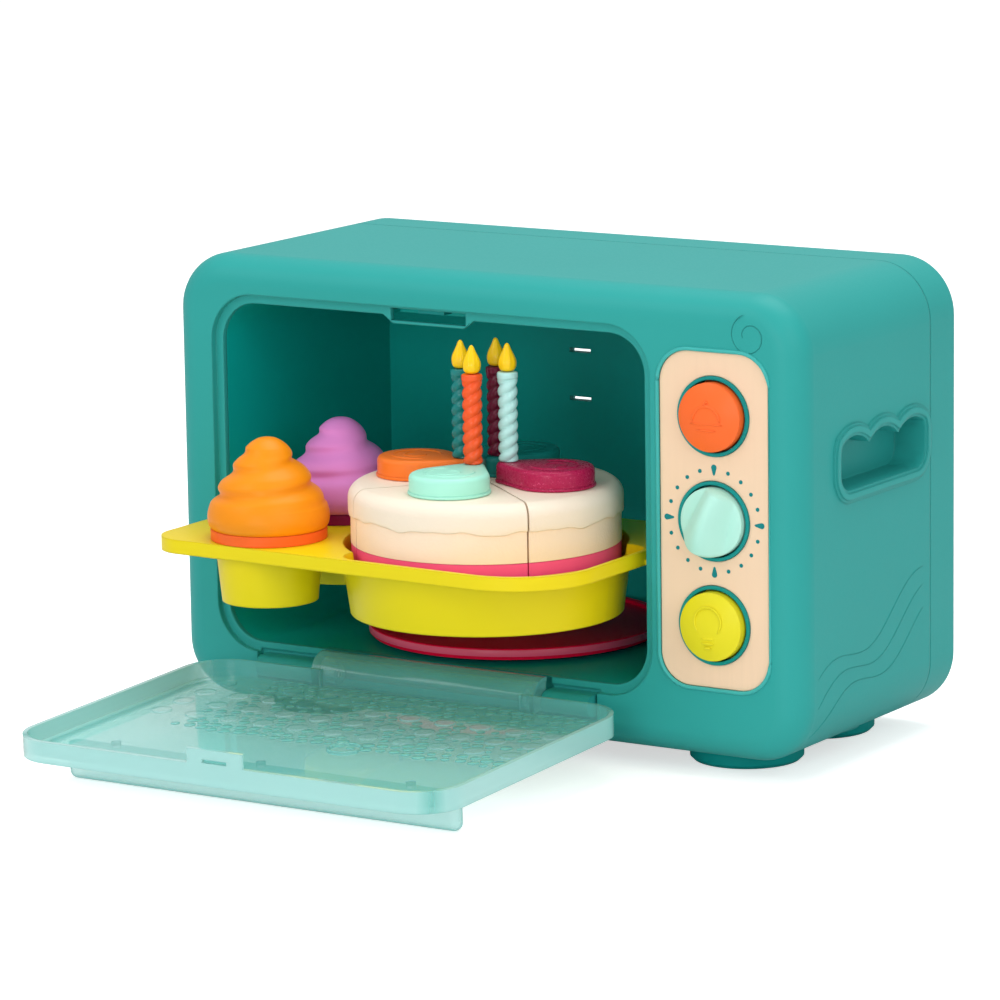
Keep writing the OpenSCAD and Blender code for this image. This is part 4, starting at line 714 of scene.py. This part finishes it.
@dataclass
class Slice:
    """One quarter of the play cake above its pink base.

    Attributes:
        line: Height of the line between sponge and icing.
        soft: Radius of the upper edge.
        inset: How far the round faces stay inside the CAD piece.
        gap: Half the width of the cuts.
        overlap: How far the sponge rises into the icing.
    """

    quarter: Quarter
    radius: float = 56.8
    icing: float = 57.8
    low: float = 83.17
    line: float = 96.0
    top: float = 107.98
    soft: float = 6.0
    inset: float = 0.35
    gap: float = 0.4
    overlap: float = 1.4
    wave_height: float = 3.5
    waves: tuple[Point, ...] = ((9.0, 0.7, 0.55), (17.0, 2.1, 0.385), (31.0, 0.0, 0.22))

    def spun(self, profile: Sequence[Flat], steps: int) -> Piece:
        """Spins a filled profile clockwise over the quarter and shifts it off the cuts.

        Args:
            profile: Loop of radius and height that touches the axis.
            steps: Steps of the spin.

        Returns:
            The new piece.
        """
        piece = turned(profile, steps, (0.0, 0.0), math.pi / 2, True)
        self.quarter.turned(piece, self.quarter.angle + 45, self.gap / math.sin(math.pi / 4))
        return piece

    def build(self) -> None:
        """Builds sponge and icing."""
        side, body = self.quarter.side, self.quarter.body("slice")
        reach, edge = self.radius - self.inset, self.icing - self.inset
        sponge = self.spun([(0.0, self.low), (reach, self.low), (reach, self.line + self.overlap),
                            (0.0, self.line + self.overlap)], 40)
        deliver(sponge, f"sponge_{side}", SPONGE, body, "cake_cream", f"slice_top_{side}", 30)
        under = self.line + self.overlap + 0.1
        loop = [(0.0, under), (reach - 1.2, under), (reach + 0.1, self.line + 0.2),
                (edge - 0.25, self.line - 0.1), (edge, self.line + 0.9), (edge, self.line + 3.0)]
        loop += arc((edge - self.soft, self.top - self.soft), self.soft, 0, 90, 10) + [(0.0, self.top)]
        icing = self.spun(loop, 60)
        self.drip(icing)
        deliver(icing, f"icing_{side}", ICING, body, "cake_cream", f"slice_top_{side}", 35)

    def drip(self, icing: Piece) -> None:
        """Waves the lower edge of the icing.

        Args:
            icing: The icing, in mm.
        """
        rim = self.radius - 2.5
        for corner in icing.data.vertices:
            dx, dy = corner.co.x - self.quarter.centre[0], corner.co.y - self.quarter.centre[1]
            if math.hypot(dx, dy) > rim and corner.co.z < self.line + self.wave_height:
                a = math.atan2(dy, dx)
                sag = sum(size * math.sin(count * a + start) for count, start, size in self.waves)
                corner.co.z += sag * (1 - max(0.0, corner.co.z - self.line) / self.wave_height)


@dataclass
class Topping:
    """A round topping with a tail and a raised ring on its face.

    Attributes:
        place: Distance of its round part from the cake's axis.
        tail_place: Distance of the tail from the cake's axis.
        sunk: How deep the beads lie in the face.
    """

    quarter: Quarter
    place: float = 32.5
    radius: float = 16.8
    tail: float = 5.2
    tail_place: float = 11.0
    low: float = 108.12
    high: float = 116.7
    sunk: float = 0.12
    lip: float = 0.55
    lip_height: float = 1.3
    ring_radius: float = 10.2
    curl_radius: float = 5.4

    def outline(self, grow: float) -> list[Flat]:
        """Gives the outline, around the quarter's own axis.

        Args:
            grow: How much larger the outline is made.

        Returns:
            The points of the outline.
        """
        lean = math.degrees(math.asin((self.radius - self.tail) / (self.place - self.tail_place)))
        big = arc((self.place, 0.0), self.radius + grow, -90 - lean, 90 + lean, 56)
        return big + arc((self.tail_place, 0.0), self.tail + grow, 90 + lean, 270 - lean, 16)

    def build(self) -> None:
        """Builds the body of the topping, its lip, a ring and a curl within it."""
        face = self.high - self.sunk
        block = bevelled(plate(self.outline(0.0), self.low, self.high), 2.0, 5)
        lip = bevelled(plate(self.outline(self.lip), self.low, self.low + self.lip_height), 0.45, 2)
        ring = bow((self.place, 0.0), self.ring_radius, range(-150, 141, 6), 0.55, face, 8)
        curl = tube([(*around((self.place, 0.0), self.curl_radius - a / 130, a), face)
                     for a in range(-60, 230, 8)], 0.45, 8)
        piece = joined([block, lip, ring, curl])
        self.quarter.turned(piece, self.quarter.angle)
        deliver(piece, f"round_topping_{self.quarter.side}", self.quarter.topping,
                self.quarter.body("topping"), replaced=f"topping_{self.quarter.side}", smooth=35)


@dataclass
class Candle:
    """A twisted two-strand candle with a collar, a peg and a flame.

    Attributes:
        place: Distance from the cake's axis.
        groove: Depth of the twist as a share of the radius.
        pitch: Height of one full twist.
        cap: Share of the mesh that closes each end.
    """

    quarter: Quarter
    place: float = 11.0
    foot: float = 116.84
    height: float = 38.0
    radius: float = 4.2
    groove: float = 0.26
    pitch: float = 9.6
    collar: float = 4.4
    collar_height: float = 3.2
    soft: float = 0.9
    foot_soft: float = 1.4
    cap: float = 0.05
    peg_radius: float = 2.4
    peg_depth: float = 6.5
    flame_radius: float = 3.9
    flame_height: float = 12.0
    flame_gap: float = 0.05
    flame_shape: tuple[Flat, ...] = (
        (0.0, 0.0), (0.015, 0.5), (0.05, 0.74), (0.12, 0.91), (0.22, 0.99), (0.33, 1.0), (0.45, 0.92),
        (0.58, 0.76), (0.7, 0.58), (0.82, 0.41), (0.91, 0.3), (0.965, 0.19), (0.99, 0.1), (1.0, 0.0))

    def stick(self, turn: float, run: float) -> Point:
        """Gives a point of the twisted stick.

        Args:
            turn: Share of the way round.
            run: Share of the way up.

        Returns:
            Radius, angle and height.
        """
        a = FULL_TURN * turn
        z = self.height * clamp((run - self.cap) / (1 - 2 * self.cap))
        lobe = abs(math.cos(a - FULL_TURN * z / self.pitch)) ** 0.75
        r = self.radius * (1 - self.groove + self.groove * lobe)
        down = self.height - z
        if down < self.collar_height:
            t = min(1.0, (self.collar_height - down) / self.soft)
            r += (self.collar - r) * t * t * (3 - 2 * t)
        if down < self.soft:
            r -= self.soft - math.sqrt(max(0.0, self.soft ** 2 - (self.soft - down) ** 2))
        if z < self.foot_soft:
            r *= 0.8 + 0.2 * math.sqrt(1 - (1 - z / self.foot_soft) ** 2)
        return (r * min(1.0, run / self.cap, (1 - run) / self.cap), a, self.foot + z)

    def flame(self, turn: float, run: float) -> Point:
        """Gives a point of the flame, a drop with nine shallow ridges.

        Args:
            turn: Share of the way round.
            run: Share of the way up.

        Returns:
            Radius, angle and height.
        """
        a = FULL_TURN * turn
        share = 0.5 - 0.5 * math.cos(math.pi * run)
        ridge = math.sin(math.pi * min(1.0, share * 1.15))
        r = self.flame_radius * blend_between(self.flame_shape, share)
        r *= 0.965 + 0.035 * math.cos(9 * a + 0.6 * math.sin(5 * share)) * ridge
        return (r, a, self.foot + self.height + self.flame_gap + self.flame_height * share)

    def build(self) -> None:
        """Builds stick, peg and flame."""
        side, finish = self.quarter.side, self.quarter.candle
        body = f"{side}_candle"
        centre = around(self.quarter.centre, self.place, self.quarter.angle)
        stick = moulded(40, 200, centre, self.stick)
        deliver(stick, f"twisted_candle_{side}", finish, body, replaced=f"candle_{side}", smooth=60)
        low, high, reach = self.foot - self.peg_depth, self.foot + 0.8, self.peg_radius
        peg = turned([(0.0, high), (reach, high), (reach, low + 0.5), (reach - 0.5, low), (0.0, low)],
                     24, centre)
        deliver(peg, f"candle_peg_{side}", finish, body)
        flame = moulded(54, 48, centre, self.flame)
        deliver(flame, f"candle_flame_{side}", FLAME, body, replaced=f"flame_{side}", smooth=70)


@dataclass
class Swirl:
    """A piped swirl that winds up to a round tip.

    Attributes:
        start: Direction in degrees where the winding starts.
        fade: Height over which the groove grows and dies.
        flat: Share of the mesh that is the underside.
        hull: Height and radius of the form round the windings.
        winds: Height and turns of the groove.
    """

    side: str
    finish: Finish
    centre: Flat
    start: float
    bottom: float = 87.24
    height: float = 38.3
    plug_radius: float = 10.0
    plug_depth: float = 5.0
    groove: float = 2.5
    groove_low: float = 9.5
    groove_high: float = 34.0
    fade: float = 4.0
    flat: float = 0.04
    hull: tuple[Flat, ...] = (
        (0.0, 24.4), (1.5, 25.4), (5.0, 25.9), (9.0, 25.1), (12.0, 23.9), (16.0, 21.9), (19.0, 20.3),
        (22.0, 18.4), (24.0, 16.9), (27.0, 14.6), (29.0, 12.7), (31.0, 11.0), (33.0, 9.8),
        (34.5, 8.6), (36.0, 6.9), (37.2, 5.0), (38.0, 2.9), (38.3, 0.0))
    winds: tuple[Flat, ...] = ((0.0, 0.0), (9.4, 1.0), (18.4, 2.0), (28.4, 3.0), (33.0, 3.5), (38.3, 4.1))

    def dome(self, turn: float, run: float) -> Point:
        """Gives a point of the swirl.

        Args:
            turn: Share of the way round.
            run: Share of the way up.

        Returns:
            Radius, angle and height.
        """
        a = FULL_TURN * turn
        if run < self.flat:
            return (self.hull[0][1] * run / self.flat, a, self.bottom)
        z = self.height * (run - self.flat) / (1 - self.flat)
        phase = blend_between(self.winds, z) - turn + self.start / 360
        wave = (0.5 + 0.5 * math.cos(FULL_TURN * phase)) ** 1.6
        fade = clamp((z - self.groove_low) / self.fade) * clamp((self.groove_high - z) / self.fade)
        side = 0.35 + 0.65 * abs(math.cos(a - math.radians(self.start)))
        return (blend_between(self.hull, z) - self.groove * wave * fade * side, a, self.bottom + z)

    def build(self) -> None:
        """Builds the swirl and its plug."""
        body = f"{self.side}_swirl"
        dome = moulded(96, 150, self.centre, self.dome)
        low, high, reach = self.bottom - self.plug_depth, self.bottom + 0.5, self.plug_radius
        plug = turned([(0.0, high), (reach, high), (reach, low + 0.6), (reach - 0.6, low), (0.0, low)],
                      48, self.centre)
        deliver(dome, f"piped_swirl_{self.side}", self.finish, body,
                replaced=f"cupcake_swirl_{self.side}", smooth=75)
        deliver(plug, f"swirl_plug_{self.side}", self.finish, body)


@dataclass
class Controls:
    """Marks round the dial and raised signs on the push buttons.

    Attributes:
        pitch: Distance of the buttons from the dial.
        panel: Front-back place of the panel's face.
        button: Front-back place of the buttons' faces.
        mark_radius: Radius of the ring of marks.
    """

    x: float = 269.85
    dial: float = 100.5
    pitch: float = 43.5
    panel: float = 0.5
    button: float = -5.75
    mark_radius: float = 21.4
    mark_count: int = 20
    dot_radius: float = 0.85

    def marks(self) -> None:
        """Builds four drops and the dots between them."""
        made: list[Piece] = []
        for step in range(self.mark_count):
            a = FULL_TURN * step / self.mark_count
            ux, uy = math.sin(a), math.cos(a)
            spot = (self.mark_radius * ux, self.mark_radius * uy)
            if step % 5 == 0:
                drop = arc((0.0, 0.9), 1.25, -20, 200, 16) + [(-0.45, -2.1), (0.0, -2.5), (0.45, -2.1)]
                outline = [(spot[0] + px * uy + py * ux, spot[1] - px * ux + py * uy) for px, py in drop]
            else:
                outline = arc(spot, self.dot_radius, 0, 345, 23)
            made.append(plate(outline, -0.3, 0.12))
        piece = upright(joined(made), self.x, self.panel, self.dial)
        deliver(piece, "dial_marks", PRINT, "case", "teal_deep")

    def bulb(self) -> None:
        """Builds the raised lamp sign on the lower button: a bulb over three bars."""
        glass = bow((0.0, 2.4), 6.2, range(232, -53, -8), 0.55)
        bars = [bar(half, up, 0.6) for half, up in ((3.3, -4.6), (3.1, -6.6), (1.8, -8.5))]
        piece = upright(joined([glass] + bars), self.x, self.button, self.dial - self.pitch)
        deliver(piece, "lamp_sign", LIME, "lower_button", "button_yellow")

    def dish(self) -> None:
        """Builds the sign of a covered dish on the upper button: a dome with a knob over two bars."""
        dome = bow((0.0, -1.6), 6.4, range(0, 181, 9), 0.55)
        bars = [bar(half, up, 0.55) for half, up in ((7.8, -2.4), (4.6, -5.0))]
        knob = bow((0.0, 6.0), 0.7, range(0, 361, 30), 0.5)
        piece = upright(joined([dome, knob] + bars), self.x, self.button, self.dial + self.pitch)
        deliver(piece, "dish_sign", ORANGE, "upper_button")

    def build(self) -> None:
        """Builds marks and signs."""
        self.marks()
        self.bulb()
        self.dish()


@dataclass
class Relief:
    """Thin raised lines on the case: waves low on the right side, a curl on the front, a panel bead in
    lighter teal as a painted highlight.
    """

    width: float = 310.0
    corner: float = 24.5
    wave_length: float = 94.0
    wave_start: float = 14.0
    wave_low: float = 13.0
    wave_pitch: float = 9.0
    wave_slope: float = 0.34
    wave_swing: float = 5.5
    wave_points: int = 60
    wire: float = 0.3
    curl_centre: Flat = (287.0, 178.0)
    curl_radius: float = 3.0
    curl_growth: float = 6.2
    curl_points: int = 48
    panel_sides: Flat = (243.6, 296.1)
    panel_heights: Flat = (29.9, 171.2)
    panel_corner: float = 14.4
    bead: float = 0.85

    def wall(self, z: float) -> float:
        """Returns the left-right place of the right wall at a height, with its round lower edge."""
        drop = max(0.0, self.corner - z)
        return self.width - self.corner + math.sqrt(self.corner ** 2 - drop ** 2)

    def waves(self) -> None:
        """Builds three wavy lines on the right wall."""
        lines = []
        for shift in (0.0, self.wave_pitch, 2 * self.wave_pitch):
            path: list[Point] = []
            for i in range(self.wave_points + 1):
                along = self.wave_length * i / self.wave_points
                rise = self.wave_slope * along + self.wave_swing * math.sin(0.085 * along + shift / 14 - 0.6)
                z = self.wave_low + shift + rise
                path.append((self.wall(z) - 0.14, self.wave_start + along, z))
            lines.append(tube(path, self.wire))
        deliver(joined(lines), "side_waves", TEAL, "case", "teal_shell")

    def curl(self) -> None:
        """Builds a small open curl on the front face."""
        path = []
        for i in range(self.curl_points + 1):
            radius = self.curl_radius + self.curl_growth * i / self.curl_points
            x, z = around(self.curl_centre, radius, 200 - i * 9.5)
            path.append((x, 0.08, z))
        deliver(tube(path, 0.25), "front_curl", TEAL, "case", "teal_shell")

    def frame(self) -> None:
        """Builds the raised bead round the control panel, in lighter teal that paints its highlight."""
        (left, right), (low, high), r = self.panel_sides, self.panel_heights, self.panel_corner
        corners = ((right - r, high - r), (left + r, high - r), (left + r, low + r), (right - r, low + r))
        path = [spot for i, corner in enumerate(corners) for spot in arc(corner, r, 90 * i, 90 * i + 90, 12)]
        path.append((right, high - r))
        bead = tube([(x, -0.1, z) for x, z in path], self.bead)
        deliver(bead, "panel_bead", BEAD_HIGHLIGHT, "case", "teal_shell")

    def build(self) -> None:
        """Builds all raised lines."""
        self.waves()
        self.curl()
        self.frame()


@dataclass
class Dial:
    """The timer dial: a round disc whose face swells into a leaning grip.

    Attributes:
        disc: Distance of the disc's face from the front face.
        reach: The same at the crest of the grip.
        ball: Radius of the crest's curve.
        lean: Lean of the grip in degrees.
        grip_width: Half the width of the grip at the centre.
        grip_taper: How much narrower its upper end is.
        edge_fall: How far the disc's face falls to its edge.
        back: Distance of the disc's back behind the front face.
        band: Share of the mesh for the back and again for the side of the disc.
    """

    x: float = 269.85
    z: float = 100.5
    radius: float = 14.3
    disc: float = 3.2
    reach: float = 12.0
    ball: float = 28.9
    lean: float = 22.0
    grip_width: float = 8.8
    grip_taper: float = 2.0
    edge_fall: float = 0.9
    back: float = 6.35
    shaft: float = 4.0
    shaft_end: float = 16.05
    band: float = 0.08

    def front(self, along: float, across: float) -> float:
        """Gives the height of the face.

        Args:
            along: Distance along the grip from the centre.
            across: Distance across the grip from the centre.

        Returns:
            The height above the front face.
        """
        out = min(1.0, math.hypot(along, across) / self.radius)
        disc = self.disc - self.edge_fall * out ** 6
        crest = self.reach - (self.ball - math.sqrt(self.ball ** 2 - along ** 2))
        width = self.grip_width - self.grip_taper * along / self.radius
        swell = (0.5 + 0.5 * math.cos(math.pi * min(1.0, abs(across) / width))) ** 0.6
        end = 1.0 - max(0.0, (out - 0.9) / 0.1) ** 2 * 0.45
        return disc + (crest - disc) * swell * end

    def face(self, turn: float, run: float) -> Point:
        """Gives a point of the dial: first its back, then its side, then its face inwards.

        Args:
            turn: Share of the way round.
            run: Share of the way from the back to the middle of the face.

        Returns:
            Radius, angle and height.
        """
        a = FULL_TURN * turn
        if run < self.band:
            return (self.radius * run / self.band, a, -self.back)
        r = self.radius * min(1.0, (1.0 - run) / (1 - 2 * self.band))
        slant = math.pi / 2 - math.radians(self.lean) - a
        height = self.front(r * math.cos(slant), r * math.sin(slant))
        if run < 2 * self.band:
            height = -self.back + (height + self.back) * (run - self.band) / self.band
        return (r, a, height)

    def build(self) -> None:
        """Builds the dial with its shaft."""
        face = moulded(96, 80, (0.0, 0.0), self.face)
        shaft = turned([(0.0, -self.shaft_end), (self.shaft, -self.shaft_end),
                        (self.shaft, -self.back + 0.5), (0.0, -self.back + 0.5)], 32, (0.0, 0.0))
        piece = upright(joined([face, shaft]), self.x, 0.0, self.z)
        deliver(piece, "dial_with_grip", MINT, "dial", replaced="timer_dial", smooth=50)


@dataclass
class DoorPattern:
    """Shallow pebbles and one ring on the inner face of the open door.

    Attributes:
        hinge: Front-back place and height of the hinge.
        face: Height of the inner face, away from the hinge line.
        dots_left: Left-right place of the first moulded dot.
        dot_first: Distance of the first row from the hinge.
        pebble: Largest radius of a pebble.
        least: Smallest radius of a pebble.
        start: Left-right place and distance from the hinge of the first pebble.
    """

    hinge: Flat = (-1.6, 17.0)
    open_angle: float = 92.18
    face: float = -2.5
    dots_left: float = 43.3
    dot_pitch: float = 17.4
    dot_row: float = 16.0
    dot_first: float = 25.2
    dot_radius: float = 4.4
    dot_rows: int = 4
    dot_columns: int = 11
    pebble: float = 2.9
    least: float = 1.1
    rows: int = 13
    columns: int = 26
    spacing: float = 6.4
    row_spacing: float = 6.3
    start: Flat = (62.0, 14.0)
    left: float = 58.0
    right: float = 226.0
    ring_place: Flat = (149.7, 92.9)
    ring_radius: float = 7.0

    def laid(self, piece: Piece) -> Piece:
        """Lays a piece drawn as (left-right, distance from the hinge, height) on the open door.

        Args:
            piece: The piece.

        Returns:
            The same piece.
        """
        a = math.radians(self.open_angle)
        piece.data.transform(Matrix((
            (1.0, 0.0, 0.0, 0.0),
            (0.0, -math.sin(a), math.cos(a), self.hinge[0]),
            (0.0, math.cos(a), math.sin(a), self.hinge[1]),
            (0.0, 0.0, 0.0, 1.0))))
        return tidied(piece)

    def pebbles(self) -> None:
        """Fills the room between the moulded dots with pebbles of several sizes."""
        dots = [(self.dots_left + c * self.dot_pitch, self.dot_first + r * self.dot_row, self.dot_radius)
                for r in range(self.dot_rows) for c in range(self.dot_columns)]
        low, high = self.face - 0.2, self.face + 0.2
        made: list[Piece] = []
        for row in range(self.rows):
            for column in range(self.columns):
                spread = math.sin(12.9898 * row + 78.233 * column) * 43758.5453
                spread -= math.floor(spread)
                x = self.start[0] + (column + (row % 2) / 2) * self.spacing + 1.2 * (spread - 0.5)
                v = self.start[1] + row * self.row_spacing + 1.4 * math.sin(5.1 * column + row)
                near = min(math.hypot(x - dx, v - dv) - dr for dx, dv, dr in dots)
                r = min(self.pebble, near - 0.5, 1.7 + 1.3 * spread)
                if r < self.least or not self.left < x < self.right:
                    continue
                dots.append((x, v, r))
                made.append(turned([(0.0, low), (r, low), (r, high), (r - 0.3, high + 0.18),
                                    (0.0, high + 0.25)], 18, (x, v)))
        deliver(self.laid(joined(made)), "door_pebbles", MILK, "door", "door_clear")

    def ring(self) -> None:
        """Builds the ring near the free edge."""
        angles = [7.5 * i for i in range(49)]
        ring = bow(self.ring_place, self.ring_radius, angles, 0.8, self.face + 0.1)
        deliver(self.laid(ring), "door_ring", MILK, "door", "door_clear")

    def build(self) -> None:
        """Builds pebbles and ring."""
        self.pebbles()
        self.ring()


@dataclass
class Turntable:
    """The pale rose band on the turntable's edge, a painted highlight on its rim."""

    centre: Flat = (131.0, 68.0)
    low: float = 29.9
    radius: float = 64.0
    height: float = 3.4
    soft: float = 0.4

    def build(self) -> None:
        """Builds the edge band, in pale rose that paints the rim's highlight."""
        low, top = self.low, self.low + self.height
        inner, edge, outer = self.radius - 1.6, self.radius - 0.2, self.radius + 0.1
        band = turned([(inner, low), (edge, low), (outer, low + self.soft), (outer, top - self.soft),
                       (edge, top), (inner, top)], 128, self.centre)
        deliver(band, "turntable_edge_highlight", ROSE_HIGHLIGHT, "turntable_disc", "turntable_crimson")


@dataclass
class Spring:
    """A wound button spring.

    Attributes:
        node: CAD spring that it stands for.
        joint: Joint of the button; not used.
        end_rise: Rise of the first and of the last coil.
    """

    node: str
    joint: str
    travel: float = 3.0
    wire: float = 0.6
    coils: int = 7
    steps: int = 18
    end_rise: float = 1.3

    def build(self) -> None:
        """Winds the spring between its seats."""
        low, high = ((Vector(corner) - SHIFT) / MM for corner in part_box(self.node))
        middle = (low + high) / 2
        whole = high.y - low.y
        reach = (high.x - low.x) / 2 - self.wire
        length = whole - 2 * self.wire
        turns = [(0.0, 0.0), (1.0, self.end_rise), (self.coils - 1.0, length - self.end_rise),
                 (float(self.coils), length)]
        path = [(*around((0.0, 0.0), reach, 360 * i / self.steps), blend_between(turns, i / self.steps))
                for i in range(self.coils * self.steps + 1)]
        coil = upright(tube(path, self.wire), middle.x, high.y - self.wire, middle.z)
        deliver(coil, f"wound_{self.node}", STEEL, "case", replaced=self.node)
        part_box(self.node)[1]
        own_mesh(coil)


@dataclass
class Studio:
    """Floor, lamps, world and camera.

    Attributes:
        daylight: Strength of the even light.
        floor_glow: Light that the floor adds for the camera.
        lamps: Name, place, point faced, width and power of each lamp, in metres and watts.
    """

    eye: Point = (1.173523, -1.821043, 0.518243)
    right: Point = (0.84589246, 0.53315567, -0.01452538)
    up: Point = (-0.0869356, 0.16469754, 0.98250543)
    back: Point = (0.52622063, -0.82983116, 0.18566662)
    lens: float = 189.824
    daylight: float = 0.52
    floor_glow: float = 0.6
    lamps: tuple[tuple[str, Point, Point, float, float], ...] = (
        ("key", (-0.9, -1.5, 1.5), (0.0, 0.0, 0.1), 1.1, 8.2),
        ("fill", (1.7, -1.0, 1.0), (0.0, 0.0, 0.1), 1.4, 10.6),
        ("front", (0.35, -1.9, 0.4), (-0.05, 0.0, 0.1), 0.7, 6.6),
        ("top", (0.1, 0.3, 1.8), (0.0, 0.0, 0.1), 1.4, 19.0))

    def camera(self) -> None:
        """Sets the camera at the photograph's angle."""
        data = bpy.data.cameras.new("camera")
        data.lens = self.lens
        data.sensor_width = 36.0
        data.clip_end = 50.0
        camera = bpy.data.objects.new("camera", data)
        axes = Matrix((self.right, self.up, self.back)).transposed()
        camera.matrix_world = Matrix.Translation(self.eye) @ axes.to_4x4()
        bpy.context.collection.objects.link(camera)
        bpy.context.scene.camera = camera

    def hang_lamps(self) -> None:
        """Hangs the soft square lamps."""
        for name, spot, aim, size, power in self.lamps:
            data = bpy.data.lights.new(name, "AREA")
            data.shape = "SQUARE"
            data.size = size
            data.energy = power
            lamp = bpy.data.objects.new(name, data)
            lamp.location = spot
            lamp.rotation_euler = (Vector(aim) - Vector(spot)).to_track_quat("-Z", "Y").to_euler()
            bpy.context.collection.objects.link(lamp)

    def world(self) -> None:
        """Lights the scene evenly and shows white behind it."""
        world = bpy.data.worlds.new("studio")
        bpy.context.scene.world = world
        wires = Wires.of(world)
        plain, bright = (wires.add("Background", {"Color": BRIGHT, "Strength": strength})
                         for strength in (self.daylight, 1.0))
        both = wires.add("MixShader", {"Fac": wires.direct_view(), 1: plain.outputs["Background"],
                                       2: bright.outputs["Background"]})
        wires.add("OutputWorld", {"Surface": both.outputs["Shader"]})

    def floor(self) -> None:
        """Lays the pale floor."""
        deselect()
        bpy.ops.mesh.primitive_plane_add(size=30.0, location=(0.0, 0.0, -0.0002))
        floor = bpy.context.object
        floor.name = "floor"
        surface = bpy.data.materials.new("floor_white")
        wires = Wires.of(surface)
        glow = wires.compute("MULTIPLY", wires.direct_view(), self.floor_glow)
        dull = wires.add("BsdfDiffuse", {"Color": (0.8, 0.8, 0.8, 1.0)})
        lift = wires.add("Emission", {"Strength": glow})
        both = wires.add("AddShader", {0: dull.outputs["BSDF"], 1: lift.outputs["Emission"]})
        wires.add("OutputMaterial", {"Surface": both.outputs["Shader"]})
        floor.data.materials.append(surface)

    def build(self) -> None:
        """Builds the studio."""
        bpy.context.scene.view_settings.view_transform = "Standard"
        self.camera()
        self.world()
        self.floor()
        self.hang_lamps()


def main() -> None:
    """Builds the classes in order and reports each of them."""
    logging.basicConfig(level=logging.INFO, format="%(message)s")
    parts = [Studio(), Dressing()]
    parts += [kind(quarter) for kind in (Slice, Topping, Candle) for quarter in QUARTERS]
    parts += [Swirl("front", SWIRL_ORANGE, (74.7, -37.5), 32.0),
              Swirl("back", SWIRL_PINK, (74.7, 18.0), 60.0),
              Controls(), Relief(), Dial(), DoorPattern(), Turntable(),
              Spring("top_spring", "upper_button_push"), Spring("bottom_spring", "lower_button_push")]
    for part in parts:
        part.build()
        LOG.info("built %s", type(part).__name__)


if __name__ == "__main__":
    main()
